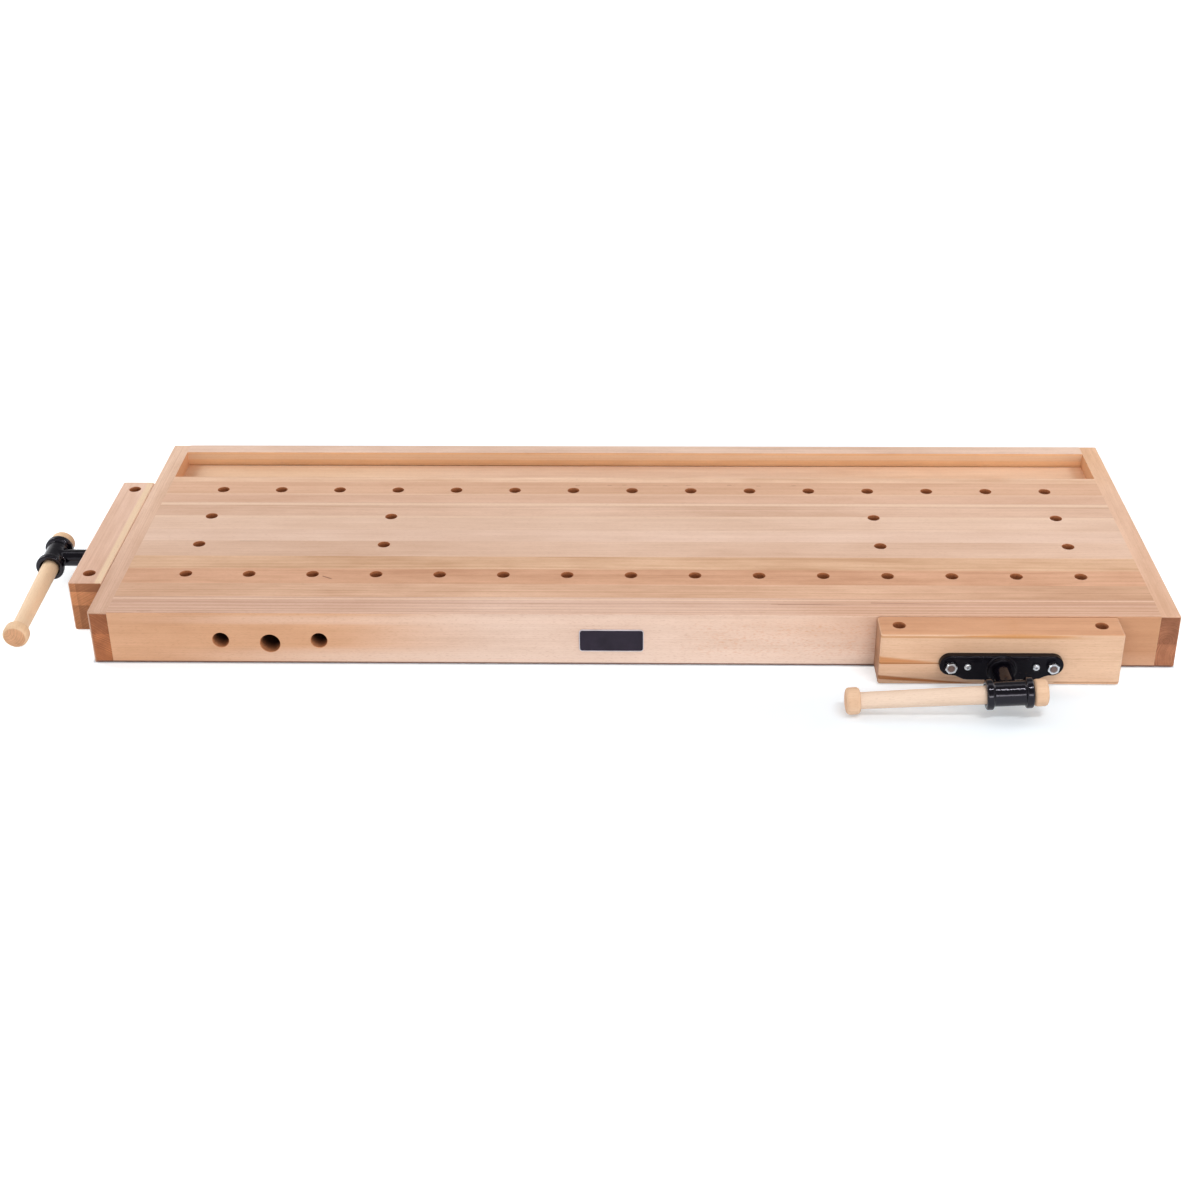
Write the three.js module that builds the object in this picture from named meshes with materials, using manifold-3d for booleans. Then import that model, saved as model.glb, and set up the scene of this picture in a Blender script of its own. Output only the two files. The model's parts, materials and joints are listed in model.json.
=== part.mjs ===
// A joiner's bench top with a front vise and an end vise: a laminated slab between aprons, a tool tray at the
// back, and two screw vises whose jaws run on twin guide rods. Millimetres, Z up, the front facing -Y.
import * as THREE from 'three';
import { mergeVertices } from 'three/addons/utils/BufferGeometryUtils.js';
import Module from 'manifold-3d';

const wasm = await Module();
wasm.setup();

// Gap between pieces that fit into or bear on each other, and how far a hole's cutter runs past a face
const CLEARANCE = 0.3;
const PAST = 20;

// Bench boards
const BENCH_LENGTH = 1650;
const BENCH_HEIGHT = 88;
const APRON_THICKNESS = 52;
const CAP_THICKNESS = 30;
const CAP_EDGE_RADIUS = 5;
const SLAB_THICKNESS = 30;
const STAVE_WIDTHS = [42, 48, 42, 52, 40, 51, 49, 29, 50, 19];
const TRAY_WIDTH = 101;
const TRAY_DEPTH = 25;
const TRAY_FLOOR_THICKNESS = 10;
const RAIL_THICKNESS = 30;

// Dog holes on a square grid: full rows at the front and back, and holes in line with the vises between them
const DOG_DIAMETER = 19;
const DOG_PITCH = 100;
const DOG_END_MARGIN = 125;
const DOG_ROWS = 4;
const DOG_FIRST_ROW = 124;
const VISE_DOG_STEPS = 3;

// Name plate on the apron, left bare
const NAME_PLATE_LENGTH = 98;
const NAME_PLATE_HEIGHT = 37.5;
const NAME_PLATE_THICKNESS = 2.5;
const NAME_PLATE_RIM = 1.6;
const NAME_PLATE_RECESS = 0.8;
const NAME_PLATE_CORNER = 4;
const NAME_PLATE_X = -29;
const NAME_PLATE_DROP = 44.5;

// Vise jaw
const JAW_LENGTH = 360;
const JAW_THICKNESS = 54.5;
const JAW_GAP = 0.5;
const JAW_FOOT = 1;

// Screw and guide rods
const SCREW_DIAMETER = 24;
const SCREW_DROP = 5.5;
const SCREW_HOLE = 30.5;
const JOURNAL_DIAMETER = 16;
const ROD_DIAMETER = 22;
const ROD_SPACING = 150.6;
const ROD_HOLE = 25;
const STUD_DIAMETER = 10;
const STUD_PROUD = 0.8;
const NUT_ACROSS_FLATS = 16;
const NUT_HEIGHT = 8;
const VISE_TRAVEL = 150;
const TRAVEL_MARGIN = 0.6;

// Cast faceplate on the jaw
const PLATE_THICKNESS = 11;
const PLATE_END_RADIUS = 16.5;
const PLATE_BELLY_DROP = 24.5;
const PLATE_BELLY_HALF = 47;
const PLATE_EDGE_RADIUS = 2.5;
const BOSS_DIAMETER = 41;
const BOSS_HEIGHT = 7;
const BOSS_EDGE_RADIUS = 2.5;
const PLATE_SCREW_SPACING = 101;
const PLATE_SCREW_DIAMETER = 6;
const PLATE_SCREW_HEAD = 10.8;
const PLATE_SCREW_HEAD_HEIGHT = 4.5;
const PLATE_SCREW_LENGTH = 30;

// Cast tee head with its cross pin, and the collar that holds the screw in the faceplate
const TEE_REACH = 58.5;
const TEE_LENGTH = 68;
const TEE_BORE = 31;
const TEE_BARREL = 37;
const TEE_RIM = 46;
const TEE_RIM_WIDTH = 11;
const TEE_RIM_ROUND = 3;
const TEE_STEM = 28;
const TEE_STEM_FLARE = 5;
const TEE_STEM_CHAMFER = 1;
const SOCKET_DEPTH = 34;
const PIN_DIAMETER = 6;
const PIN_OFFSET = 10;
const COLLAR_DIAMETER = 38;
const COLLAR_WIDTH = 10;

// Turned handle
const HANDLE_LENGTH = 249;
const HANDLE_THICK = 28.5;
const HANDLE_THIN = 25;
const KNOB_DIAMETER = 40;
const KNOB_LENGTH = 23;
const KNOB_ROUND = 6;
const KNOB_DOME = 1.5;
const KNOB_ROUND_END = 75;
const TENON_DIAMETER = 16;
const TENON_LENGTH = 17;
const HANDLE_TILT = THREE.MathUtils.degToRad(3.4);

// Nut housing inside the bench, and the yoke at the rods' rear ends
const HOUSING_LENGTH = 50;
const HOUSING_HEADROOM = 1;
const FLANGE_THICKNESS = 9;
const GUIDE_BOSS = 33;
const NUT_BOSS = 40;
const BOSS_DRAFT = 1.5;
const RIB_THICKNESS = 9;
const LAG_SPACING = 80;
const LAG_DIAMETER = 8;
const LAG_LENGTH = 24;
const LAG_ACROSS_FLATS = 13;
const LAG_HEAD_HEIGHT = 6;
const YOKE_THICKNESS = 10;
const YOKE_END_RADIUS = 15.5;

// Facets of round shapes
const FINE_STEPS = 12;
const HOLE_STEPS = 16;
const ROUND_STEPS = 18;
const ARC_STEPS = 3;
const OUTLINE_STEPS = 5;
const SMALL_OUTLINE_STEPS = 2;
const WELD = 1e-4;

// Places worked out from the sizes above
const CAP_X = BENCH_LENGTH / 2 - CAP_THICKNESS;
const SLAB_FRONT = APRON_THICKNESS;
const SLAB_BACK = STAVE_WIDTHS.reduce((sum, width) => sum + width, SLAB_FRONT);
const RAIL_FRONT = SLAB_BACK + TRAY_WIDTH;
const BENCH_DEPTH = RAIL_FRONT + RAIL_THICKNESS;
const TRAY_Z = BENCH_HEIGHT - TRAY_DEPTH;
const LAST_DOG_X = BENCH_LENGTH / 2 - DOG_END_MARGIN;
const LAST_DOG_COLUMN = Math.floor((2 * LAST_DOG_X) / DOG_PITCH);
const VISE_DOG_SPACING = VISE_DOG_STEPS * DOG_PITCH;
const FRONT_VISE_X = LAST_DOG_X - VISE_DOG_SPACING / 2;
const END_VISE_Y = DOG_FIRST_ROW + VISE_DOG_SPACING / 2;
const ROD_HEIGHT = BENCH_HEIGHT - SLAB_THICKNESS - HOUSING_HEADROOM - GUIDE_BOSS / 2;
const SCREW_HEIGHT = ROD_HEIGHT - SCREW_DROP;
const JAW_FRONT = -JAW_GAP - JAW_THICKNESS;
const PLATE_BACK = JAW_FRONT - CLEARANCE;
const PLATE_FRONT = PLATE_BACK - PLATE_THICKNESS;
const BOSS_FRONT = PLATE_FRONT - BOSS_HEIGHT;
const STEM_FACE = BOSS_FRONT - CLEARANCE;
const TEE_Y = STEM_FACE - TEE_REACH;
const HANDLE_START = -TEE_LENGTH / 2;
const HANDLE_DROP = (TEE_BORE - HANDLE_THICK) / 2 - CLEARANCE;
const YOKE_FRONT = APRON_THICKNESS + CLEARANCE + HOUSING_LENGTH + VISE_TRAVEL + TRAVEL_MARGIN;
const YOKE_BACK = YOKE_FRONT + YOKE_THICKNESS;

function finish(color, roughness, metalness) {
  return () => new THREE.MeshStandardMaterial({ color, roughness, metalness, flatShading: true });
}
const beech = finish(0xdfb38c, 0.55, 0);
const paleBeech = finish(0xe8c6a4, 0.55, 0);
const rosyBeech = finish(0xdcb095, 0.55, 0);
const darkBeech = finish(0xcf9d74, 0.55, 0);
const turnedBeech = finish(0xf0d2a8, 0.5, 0);
const blackCasting = finish(0x0e0e10, 0.3, 0.2);
const brightSteel = finish(0xc9ccd0, 0.3, 1);
const blackPlate = finish(0x14161a, 0.35, 0.1);
const STAVE_WOODS = [
  beech, darkBeech, beech, rosyBeech, paleBeech,
  paleBeech, rosyBeech, beech, darkBeech, paleBeech,
];

// A closed geometry as a solid that can be joined and cut, with its faces pointing out.
function solid(geometry) {
  const bare = geometry.clone();
  bare.deleteAttribute('normal');
  bare.deleteAttribute('uv');
  const merged = mergeVertices(bare, WELD);
  const points = merged.attributes.position;
  const triangles = [];
  let volume = 0;
  const [a, b, c] = [new THREE.Vector3(), new THREE.Vector3(), new THREE.Vector3()];
  for (let i = 0; i < merged.index.count; i += 3) {
    const corners = [0, 1, 2].map((k) => merged.index.getX(i + k));
    if (new Set(corners).size < corners.length) continue;
    triangles.push(corners);
    a.fromBufferAttribute(points, corners[0]);
    b.fromBufferAttribute(points, corners[1]);
    c.fromBufferAttribute(points, corners[2]);
    volume += a.dot(b.cross(c));
  }
  const outward = volume > 0 ? triangles : triangles.map((corners) => corners.reverse());
  const mesh = new wasm.Mesh({
    numProp: 3,
    vertProperties: new Float32Array(points.array),
    triVerts: new Uint32Array(outward.flat()),
  });
  return new wasm.Manifold(mesh);
}

function cut(body, cutters) {
  return cutters.reduce((left, cutter) => left.subtract(cutter), body);
}

function piece(name, body, material) {
  const { vertProperties, triVerts } = body.getMesh();
  const geometry = new THREE.BufferGeometry();
  geometry.setAttribute('position', new THREE.BufferAttribute(new Float32Array(vertProperties), 3));
  geometry.setIndex(new THREE.BufferAttribute(new Uint32Array(triVerts), 1));
  geometry.computeVertexNormals();
  const mesh = new THREE.Mesh(geometry, material());
  mesh.name = name;
  return mesh;
}

// A block between two corners, so that neighbouring boards share exactly the same face.
function block(low, high) {
  const geometry = new THREE.BoxGeometry(1, 1, 1);
  const points = geometry.attributes.position;
  const pick = (value, axis) => (value < 0 ? low[axis] : high[axis]);
  for (let i = 0; i < points.count; i += 1) {
    points.setXYZ(i, pick(points.getX(i), 0), pick(points.getY(i), 1), pick(points.getZ(i), 2));
  }
  return solid(geometry);
}

// Turned shape: the profile's x is the radius and its y runs along the piece's own axis, here Y.
function turned(profile, steps = ROUND_STEPS) {
  return new THREE.LatheGeometry(profile.map(([radius, along]) => new THREE.Vector2(radius, along)), steps);
}

// Quarter-circle corner of a turned profile, from one angle to another in degrees.
function corner(radius, along, round, from, to) {
  return Array.from({ length: ARC_STEPS + 1 }, (_, i) => {
    const angle = THREE.MathUtils.degToRad(from + ((to - from) * i) / ARC_STEPS);
    return [radius + round * Math.cos(angle), along + round * Math.sin(angle)];
  });
}

function bar(diameter, from, to, steps = HOLE_STEPS) {
  return turned([[0, from], [diameter / 2, from], [diameter / 2, to], [0, to]], steps);
}

// Cutter for a round hole, whose facets lie outside the hole's circle so that the clearance holds all round.
function bore(diameter, from, to, steps = HOLE_STEPS) {
  return bar(diameter / Math.cos(Math.PI / steps), from, to, steps);
}

// Cutter for the hole of a shaft that passes through with clearance.
function fitBore(shaftDiameter, from, to, steps = HOLE_STEPS) {
  return bore(shaftDiameter + 2 * CLEARANCE, from, to, steps);
}

const alongX = (geometry) => geometry.rotateZ(-Math.PI / 2);
const alongZ = (geometry) => geometry.rotateX(Math.PI / 2);

function dogHole(x, y) {
  return solid(alongZ(bore(DOG_DIAMETER, -PAST, BENCH_HEIGHT + PAST)).translate(x, y, 0));
}

// Outline in X and Z extruded towards +Y from the given Y.
function extruded(shape, from, depth, curveSegments, edge = {}) {
  const geometry = new THREE.ExtrudeGeometry(shape, { depth, curveSegments, bevelEnabled: false, ...edge });
  return geometry.rotateX(Math.PI / 2).translate(0, from + depth, 0);
}

function roundedRectangle(length, height, radius) {
  const [x, z] = [length / 2 - radius, height / 2 - radius];
  const shape = new THREE.Shape();
  shape.absarc(x, z, radius, 0, Math.PI / 2);
  shape.absarc(-x, z, radius, Math.PI / 2, Math.PI);
  shape.absarc(-x, -z, radius, Math.PI, 1.5 * Math.PI);
  shape.absarc(x, -z, radius, 1.5 * Math.PI, 2 * Math.PI);
  return shape;
}

// Casting outline round the two rods: half-round ends, a straight top and a belly below the screw.
function castOutline(endRadius, inset = 0) {
  const [span, radius, drop] = [ROD_SPACING / 2, endRadius - inset, PLATE_BELLY_DROP - inset];
  const bend = (span - PLATE_BELLY_HALF) / 2;
  const shape = new THREE.Shape();
  shape.moveTo(-span, radius);
  shape.lineTo(span, radius);
  shape.absarc(span, 0, radius, Math.PI / 2, -Math.PI / 2, true);
  shape.bezierCurveTo(span - bend, -radius, PLATE_BELLY_HALF + bend, -drop, PLATE_BELLY_HALF, -drop);
  shape.lineTo(-PLATE_BELLY_HALF, -drop);
  shape.bezierCurveTo(-PLATE_BELLY_HALF - bend, -drop, bend - span, -radius, -span, -radius);
  shape.absarc(-span, 0, radius, -Math.PI / 2, -1.5 * Math.PI, true);
  return shape;
}

function hexagon(acrossFlats, height, from) {
  return new THREE.CylinderGeometry(acrossFlats / Math.sqrt(3), acrossFlats / Math.sqrt(3), height, 6)
    .translate(0, from + height / 2, 0);
}

// Holes of one vise through a board: the screw's hole between the two rods' holes.
function viseBores(screwHole, rodHole, from, to, steps = HOLE_STEPS) {
  const rodBore = (side) => bore(rodHole, from, to, steps).translate((side * ROD_SPACING) / 2, 0, ROD_HEIGHT);
  return [bore(screwHole, from, to, steps).translate(0, 0, SCREW_HEIGHT), rodBore(-1), rodBore(1)];
}

function lagHoles(boardBack) {
  const from = boardBack - LAG_LENGTH - CLEARANCE;
  const hole = () => fitBore(LAG_DIAMETER, from, boardBack + FLANGE_THICKNESS + PAST, FINE_STEPS);
  return [-1, 1].map((side) => hole().translate((side * LAG_SPACING) / 2, 0, SCREW_HEIGHT));
}

// Vises are drawn with the bench face at y = 0 and the jaw towards -Y, then turned into place.
const frontPlace = new THREE.Matrix4().makeTranslation(FRONT_VISE_X, 0, 0);
const sparePlace = new THREE.Matrix4().makeTranslation(-FRONT_VISE_X, 0, 0);
const endPlace = new THREE.Matrix4().makeTranslation(-BENCH_LENGTH / 2, END_VISE_Y, 0)
  .multiply(new THREE.Matrix4().makeRotationZ(-Math.PI / 2));

function drilled(body, geometries, place) {
  return cut(body, geometries.map((geometry) => solid(geometry.applyMatrix4(place))));
}

function frontApron() {
  const board = block([-CAP_X, 0, 0], [CAP_X, APRON_THICKNESS, BENCH_HEIGHT]);
  const bores = () => viseBores(SCREW_HOLE, ROD_HOLE, -PAST, APRON_THICKNESS + PAST);
  const withVise = drilled(board, [...bores(), ...lagHoles(APRON_THICKNESS)], frontPlace);
  return drilled(withVise, bores(), sparePlace);
}

// End cap seen from the front, with its lower outer edge rounded over.
function endCap(side) {
  const [inner, outer, round] = [side * CAP_X, (side * BENCH_LENGTH) / 2, CAP_EDGE_RADIUS];
  const shape = new THREE.Shape();
  shape.moveTo(inner, 0);
  shape.lineTo(inner, BENCH_HEIGHT);
  shape.lineTo(outer, BENCH_HEIGHT);
  shape.lineTo(outer, round);
  shape.quadraticCurveTo(outer, 0, outer - side * round, 0);
  const board = solid(extruded(shape, 0, BENCH_DEPTH, ARC_STEPS));
  if (side > 0) return board;
  const bores = viseBores(SCREW_HOLE, ROD_HOLE, -PAST, CAP_THICKNESS + PAST);
  return drilled(board, [...bores, ...lagHoles(CAP_THICKNESS)], endPlace);
}

function dogPlaces() {
  const places = [];
  const lastRow = DOG_ROWS - 1;
  const lastColumn = LAST_DOG_COLUMN;
  const viseColumns = [0, VISE_DOG_STEPS, lastColumn - VISE_DOG_STEPS, lastColumn];
  for (let row = 0; row <= lastRow; row += 1) {
    for (let column = 0; column <= lastColumn; column += 1) {
      const fullRow = row === 0 || row === lastRow;
      if (!fullRow && !viseColumns.includes(column)) continue;
      places.push([LAST_DOG_X - (lastColumn - column) * DOG_PITCH, DOG_FIRST_ROW + row * DOG_PITCH]);
    }
  }
  return places;
}

function topStaves() {
  const holes = dogPlaces();
  let front = SLAB_FRONT;
  return STAVE_WIDTHS.map((width, index) => {
    const back = front + width;
    const [low, high] = [front - DOG_DIAMETER / 2, back + DOG_DIAMETER / 2];
    const board = block([-CAP_X, front, BENCH_HEIGHT - SLAB_THICKNESS], [CAP_X, back, BENCH_HEIGHT]);
    const here = holes.filter(([, y]) => y > low && y < high);
    front = back;
    const body = cut(board, here.map(([x, y]) => dogHole(x, y)));
    return piece(`top_stave_${index + 1}`, body, STAVE_WOODS[index % STAVE_WOODS.length]);
  });
}

function namePlate() {
  const outline = roundedRectangle(NAME_PLATE_LENGTH, NAME_PLATE_HEIGHT, NAME_PLATE_CORNER);
  const field = roundedRectangle(
    NAME_PLATE_LENGTH - 2 * NAME_PLATE_RIM,
    NAME_PLATE_HEIGHT - 2 * NAME_PLATE_RIM,
    NAME_PLATE_CORNER - NAME_PLATE_RIM,
  );
  const back = -CLEARANCE;
  const front = back - NAME_PLATE_THICKNESS;
  const plate = solid(extruded(outline, front, NAME_PLATE_THICKNESS, SMALL_OUTLINE_STEPS));
  const recess = extruded(field, front - NAME_PLATE_RECESS, 2 * NAME_PLATE_RECESS, SMALL_OUTLINE_STEPS);
  return plate.subtract(solid(recess));
}

function benchTop() {
  const bench = new THREE.Group();
  const tray = block(
    [-CAP_X, SLAB_BACK, TRAY_Z - TRAY_FLOOR_THICKNESS],
    [CAP_X, RAIL_FRONT, TRAY_Z],
  );
  const badge = piece('name_plate', namePlate(), blackPlate);
  badge.position.set(NAME_PLATE_X, 0, BENCH_HEIGHT - NAME_PLATE_DROP);
  bench.add(
    piece('front_apron', frontApron(), beech),
    piece('left_end_cap', endCap(-1), rosyBeech),
    piece('right_end_cap', endCap(1), rosyBeech),
    piece('tray_floor', tray, paleBeech),
    piece('rear_rail', block([-CAP_X, RAIL_FRONT, 0], [CAP_X, BENCH_DEPTH, BENCH_HEIGHT]), beech),
    badge,
    ...topStaves(),
  );
  return bench;
}

function viseJaw() {
  const low = [-JAW_LENGTH / 2, JAW_FRONT, JAW_FOOT];
  const board = block(low, [JAW_LENGTH / 2, -JAW_GAP, BENCH_HEIGHT]);
  const middle = JAW_FRONT + JAW_THICKNESS / 2;
  const dogs = [-1, 1].map((side) => dogHole((side * VISE_DOG_SPACING) / 2, middle));
  const bores = viseBores(SCREW_HOLE, ROD_DIAMETER + 2 * CLEARANCE, JAW_FRONT - PAST, PAST);
  const seatFloor = JAW_FRONT + COLLAR_WIDTH + 2 * CLEARANCE;
  const collarSeat = fitBore(COLLAR_DIAMETER, JAW_FRONT - PAST, seatFloor).translate(0, 0, SCREW_HEIGHT);
  const screwEnd = PLATE_FRONT + PLATE_SCREW_LENGTH + CLEARANCE;
  return cut(cut(board, dogs), [...bores, collarSeat, ...plateScrewHoles(screwEnd)].map(solid));
}

function plateScrewHoles(to) {
  const hole = () => fitBore(PLATE_SCREW_DIAMETER, BOSS_FRONT - PAST, to, FINE_STEPS);
  return [-1, 1].map((side) => hole().translate((side * PLATE_SCREW_SPACING) / 2, 0, ROD_HEIGHT));
}

// Faceplate casting: rounded front edges, a flat back, and a boss round the screw.
function facePlate() {
  const edge = PLATE_EDGE_RADIUS;
  const rounding = { bevelEnabled: true, bevelThickness: edge, bevelSize: edge, bevelSegments: 2 };
  const outline = castOutline(PLATE_END_RADIUS, edge);
  const body = extruded(outline, PLATE_FRONT + edge, PLATE_THICKNESS, OUTLINE_STEPS, rounding);
  const behind = block(
    [-ROD_SPACING, PLATE_BACK, -BENCH_HEIGHT],
    [ROD_SPACING, PLATE_BACK + PLATE_THICKNESS + edge, BENCH_HEIGHT],
  );
  const plate = solid(body).subtract(behind).translate([0, 0, ROD_HEIGHT]);
  const [radius, round] = [BOSS_DIAMETER / 2, BOSS_EDGE_RADIUS];
  const boss = turned([
    [0, PLATE_FRONT + PLATE_THICKNESS / 2],
    [radius, PLATE_FRONT + PLATE_THICKNESS / 2],
    ...corner(radius - round, BOSS_FRONT + round, round, 0, -90),
    [0, BOSS_FRONT],
  ]).translate(0, 0, SCREW_HEIGHT);
  const bores = viseBores(
    SCREW_DIAMETER + 2 * CLEARANCE,
    STUD_DIAMETER + 2 * CLEARANCE,
    BOSS_FRONT - PAST,
    PAST,
  );
  return cut(plate.add(solid(boss)), [...bores, ...plateScrewHoles(PAST)].map(solid));
}

// Guide rod with a threaded stud at each end: one through the faceplate, one through the yoke.
function guideRod() {
  const [radius, stud] = [ROD_DIAMETER / 2, STUD_DIAMETER / 2];
  const reach = 2 * CLEARANCE + NUT_HEIGHT + STUD_PROUD;
  const front = PLATE_BACK + CLEARANCE;
  const back = YOKE_FRONT - CLEARANCE;
  return solid(turned([
    [0, PLATE_FRONT - reach],
    [stud, PLATE_FRONT - reach],
    [stud, front],
    [radius, front],
    [radius, back],
    [stud, back],
    [stud, YOKE_BACK + reach],
    [0, YOKE_BACK + reach],
  ], HOLE_STEPS));
}

function hexNut(from) {
  const hole = fitBore(STUD_DIAMETER, from - PAST, from + NUT_HEIGHT + PAST, FINE_STEPS);
  return solid(hexagon(NUT_ACROSS_FLATS, NUT_HEIGHT, from)).subtract(solid(hole));
}

// Pan-head screw through the faceplate into the jaw.
function plateScrew() {
  const [radius, head] = [PLATE_SCREW_DIAMETER / 2, PLATE_SCREW_HEAD / 2];
  const under = PLATE_FRONT - CLEARANCE;
  const crown = PLATE_SCREW_HEAD_HEIGHT / 2;
  const top = under - PLATE_SCREW_HEAD_HEIGHT;
  return solid(turned([
    [0, top],
    [head - crown, top],
    ...corner(head - crown, top + crown, crown, -90, 0),
    [head, under],
    [radius, under],
    [radius, PLATE_FRONT + PLATE_SCREW_LENGTH - radius],
    [0, PLATE_FRONT + PLATE_SCREW_LENGTH],
  ], FINE_STEPS));
}

// Flat bar that ties the rods together behind the nut housing and stops the jaw's travel.
function yoke() {
  const [length, height] = [ROD_SPACING + 2 * YOKE_END_RADIUS, 2 * YOKE_END_RADIUS];
  const shape = roundedRectangle(length, height, YOKE_END_RADIUS - WELD);
  const flatBar = extruded(shape, YOKE_FRONT, YOKE_THICKNESS, SMALL_OUTLINE_STEPS);
  const plate = solid(flatBar).translate([0, 0, ROD_HEIGHT]);
  const bores = viseBores(
    JOURNAL_DIAMETER + 2 * CLEARANCE,
    STUD_DIAMETER + 2 * CLEARANCE,
    YOKE_FRONT - PAST,
    YOKE_BACK + PAST,
    FINE_STEPS,
  );
  return cut(plate, bores.map(solid));
}

// Screw: a nose pinned into the tee, the threaded length, and a journal that runs in the yoke.
function spindle() {
  const [radius, journal] = [SCREW_DIAMETER / 2, JOURNAL_DIAMETER / 2];
  const nose = STEM_FACE - SOCKET_DEPTH + CLEARANCE;
  const end = YOKE_BACK + STUD_PROUD;
  const body = turned([
    [0, nose],
    [journal, nose],
    [journal, BOSS_FRONT],
    [radius, BOSS_FRONT],
    [radius, YOKE_FRONT - CLEARANCE],
    [journal, YOKE_FRONT - CLEARANCE],
    [journal, end],
    [0, end],
  ], HOLE_STEPS);
  return solid(body).subtract(solid(pinHole()));
}

function pinHole() {
  const hole = fitBore(PIN_DIAMETER, -TEE_STEM, TEE_STEM, FINE_STEPS);
  return alongZ(hole).translate(0, STEM_FACE - PIN_OFFSET, 0);
}

function crossPin() {
  const half = TEE_STEM / 2 - CLEARANCE;
  return solid(alongZ(bar(PIN_DIAMETER, -half, half, FINE_STEPS)).translate(0, STEM_FACE - PIN_OFFSET, 0));
}

function retainingCollar() {
  const [from, to] = [PLATE_BACK + CLEARANCE, PLATE_BACK + CLEARANCE + COLLAR_WIDTH];
  const [inner, outer] = [SCREW_DIAMETER / 2 + CLEARANCE, COLLAR_DIAMETER / 2];
  return solid(turned([[inner, from], [outer, from], [outer, to], [inner, to], [inner, from]]));
}

// Tee casting: a barrel with rounded rims for the handle, and a flared stem that takes the screw's nose.
function teeHead() {
  const [half, rim, round] = [TEE_LENGTH / 2, TEE_RIM / 2, TEE_RIM_ROUND];
  const [barrel, step] = [TEE_BARREL / 2, half - TEE_RIM_WIDTH];
  const barrelProfile = [
    [0, -half],
    ...corner(rim - round, -half + round, round, -90, 0),
    ...corner(rim - round, -step - round, round, 0, 90),
    [barrel, -step + round / 2],
    [barrel, step - round / 2],
    ...corner(rim - round, step + round, round, -90, 0),
    ...corner(rim - round, half - round, round, 0, 90),
    [0, half],
  ];
  const [stem, flare] = [TEE_STEM / 2, TEE_STEM_FLARE];
  const barrelFace = TEE_Y + Math.sqrt(barrel * barrel - stem * stem);
  const stemProfile = [
    [0, TEE_Y],
    [stem + flare, TEE_Y],
    ...corner(stem + flare, barrelFace + flare, flare, -90, -180).slice(1),
    [stem, STEM_FACE - TEE_STEM_CHAMFER],
    [stem - TEE_STEM_CHAMFER, STEM_FACE],
    [0, STEM_FACE],
  ];
  const handleBore = alongX(bore(TEE_BORE, -TEE_LENGTH, TEE_LENGTH, ROUND_STEPS)).translate(0, TEE_Y, 0);
  const socket = fitBore(JOURNAL_DIAMETER, STEM_FACE - SOCKET_DEPTH, 0);
  const barrelBody = solid(alongX(turned(barrelProfile)).translate(0, TEE_Y, 0));
  const casting = barrelBody.add(solid(turned(stemProfile, HOLE_STEPS)));
  return cut(casting, [handleBore, socket, pinHole()].map(solid));
}

// One end of a knob is domed and both its edges are rounded over; along runs from the bar outwards.
function knobProfile(inner) {
  const [radius, round, outer] = [KNOB_DIAMETER / 2, KNOB_ROUND, inner + KNOB_LENGTH];
  return [
    ...corner(radius - round, inner + round, round, -90, 0),
    ...corner(radius - round, outer - KNOB_DOME - round, round, 0, KNOB_ROUND_END),
    [0, outer],
  ];
}

// Handle along +X from its loose knob's end of the tee; the bar tapers to the knob turned in one with it.
function handleBar() {
  const [start, end] = [HANDLE_START, HANDLE_START + HANDLE_LENGTH];
  const profile = [
    [0, start - TENON_LENGTH],
    [TENON_DIAMETER / 2, start - TENON_LENGTH],
    [TENON_DIAMETER / 2, start],
    [HANDLE_THICK / 2, start],
    [HANDLE_THIN / 2, end],
    ...knobProfile(end),
  ];
  return solid(alongX(turned(profile)).translate(0, TEE_Y, 0));
}

function looseKnob() {
  const knob = turned([[0, 0], ...knobProfile(0)]);
  const socket = fitBore(TENON_DIAMETER, -TENON_LENGTH, TENON_LENGTH + CLEARANCE);
  const body = solid(alongX(knob).rotateZ(Math.PI)).subtract(solid(alongX(socket).rotateZ(Math.PI)));
  return body.translate([HANDLE_START - CLEARANCE, TEE_Y, 0]);
}

// Nut housing: a flange on the back of the board, drafted bosses for the nut and the guides, and a rib
// that ties the bosses together.
function nutHousing(boardBack) {
  const from = boardBack + CLEARANCE;
  const flangeBack = from + FLANGE_THICKNESS;
  const to = from + HOUSING_LENGTH;
  const plate = extruded(castOutline(GUIDE_BOSS / 2), from, FLANGE_THICKNESS, SMALL_OUTLINE_STEPS);
  const flange = solid(plate).translate([0, 0, ROD_HEIGHT]);
  const boss = (diameter) => turned([
    [0, from + FLANGE_THICKNESS / 2],
    [diameter / 2, from + FLANGE_THICKNESS / 2],
    [diameter / 2 - BOSS_DRAFT, to],
    [0, to],
  ], FINE_STEPS);
  const guides = [-1, 1].map((side) => boss(GUIDE_BOSS).translate((side * ROD_SPACING) / 2, 0, ROD_HEIGHT));
  const ribEnd = (flangeBack + to) / 2;
  const rib = block(
    [-ROD_SPACING / 2, from + FLANGE_THICKNESS / 2, SCREW_HEIGHT - RIB_THICKNESS / 2 - LAG_ACROSS_FLATS],
    [ROD_SPACING / 2, ribEnd, SCREW_HEIGHT + RIB_THICKNESS / 2 - LAG_ACROSS_FLATS],
  );
  const joined = [boss(NUT_BOSS).translate(0, 0, SCREW_HEIGHT), ...guides]
    .reduce((body, geometry) => body.add(solid(geometry)), flange.add(rib));
  const bores = viseBores(
    SCREW_DIAMETER + 2 * CLEARANCE,
    ROD_DIAMETER + 2 * CLEARANCE,
    from - PAST,
    to + PAST,
    FINE_STEPS,
  );
  return cut(joined, [...bores, ...lagHoles(boardBack)].map(solid));
}

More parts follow.
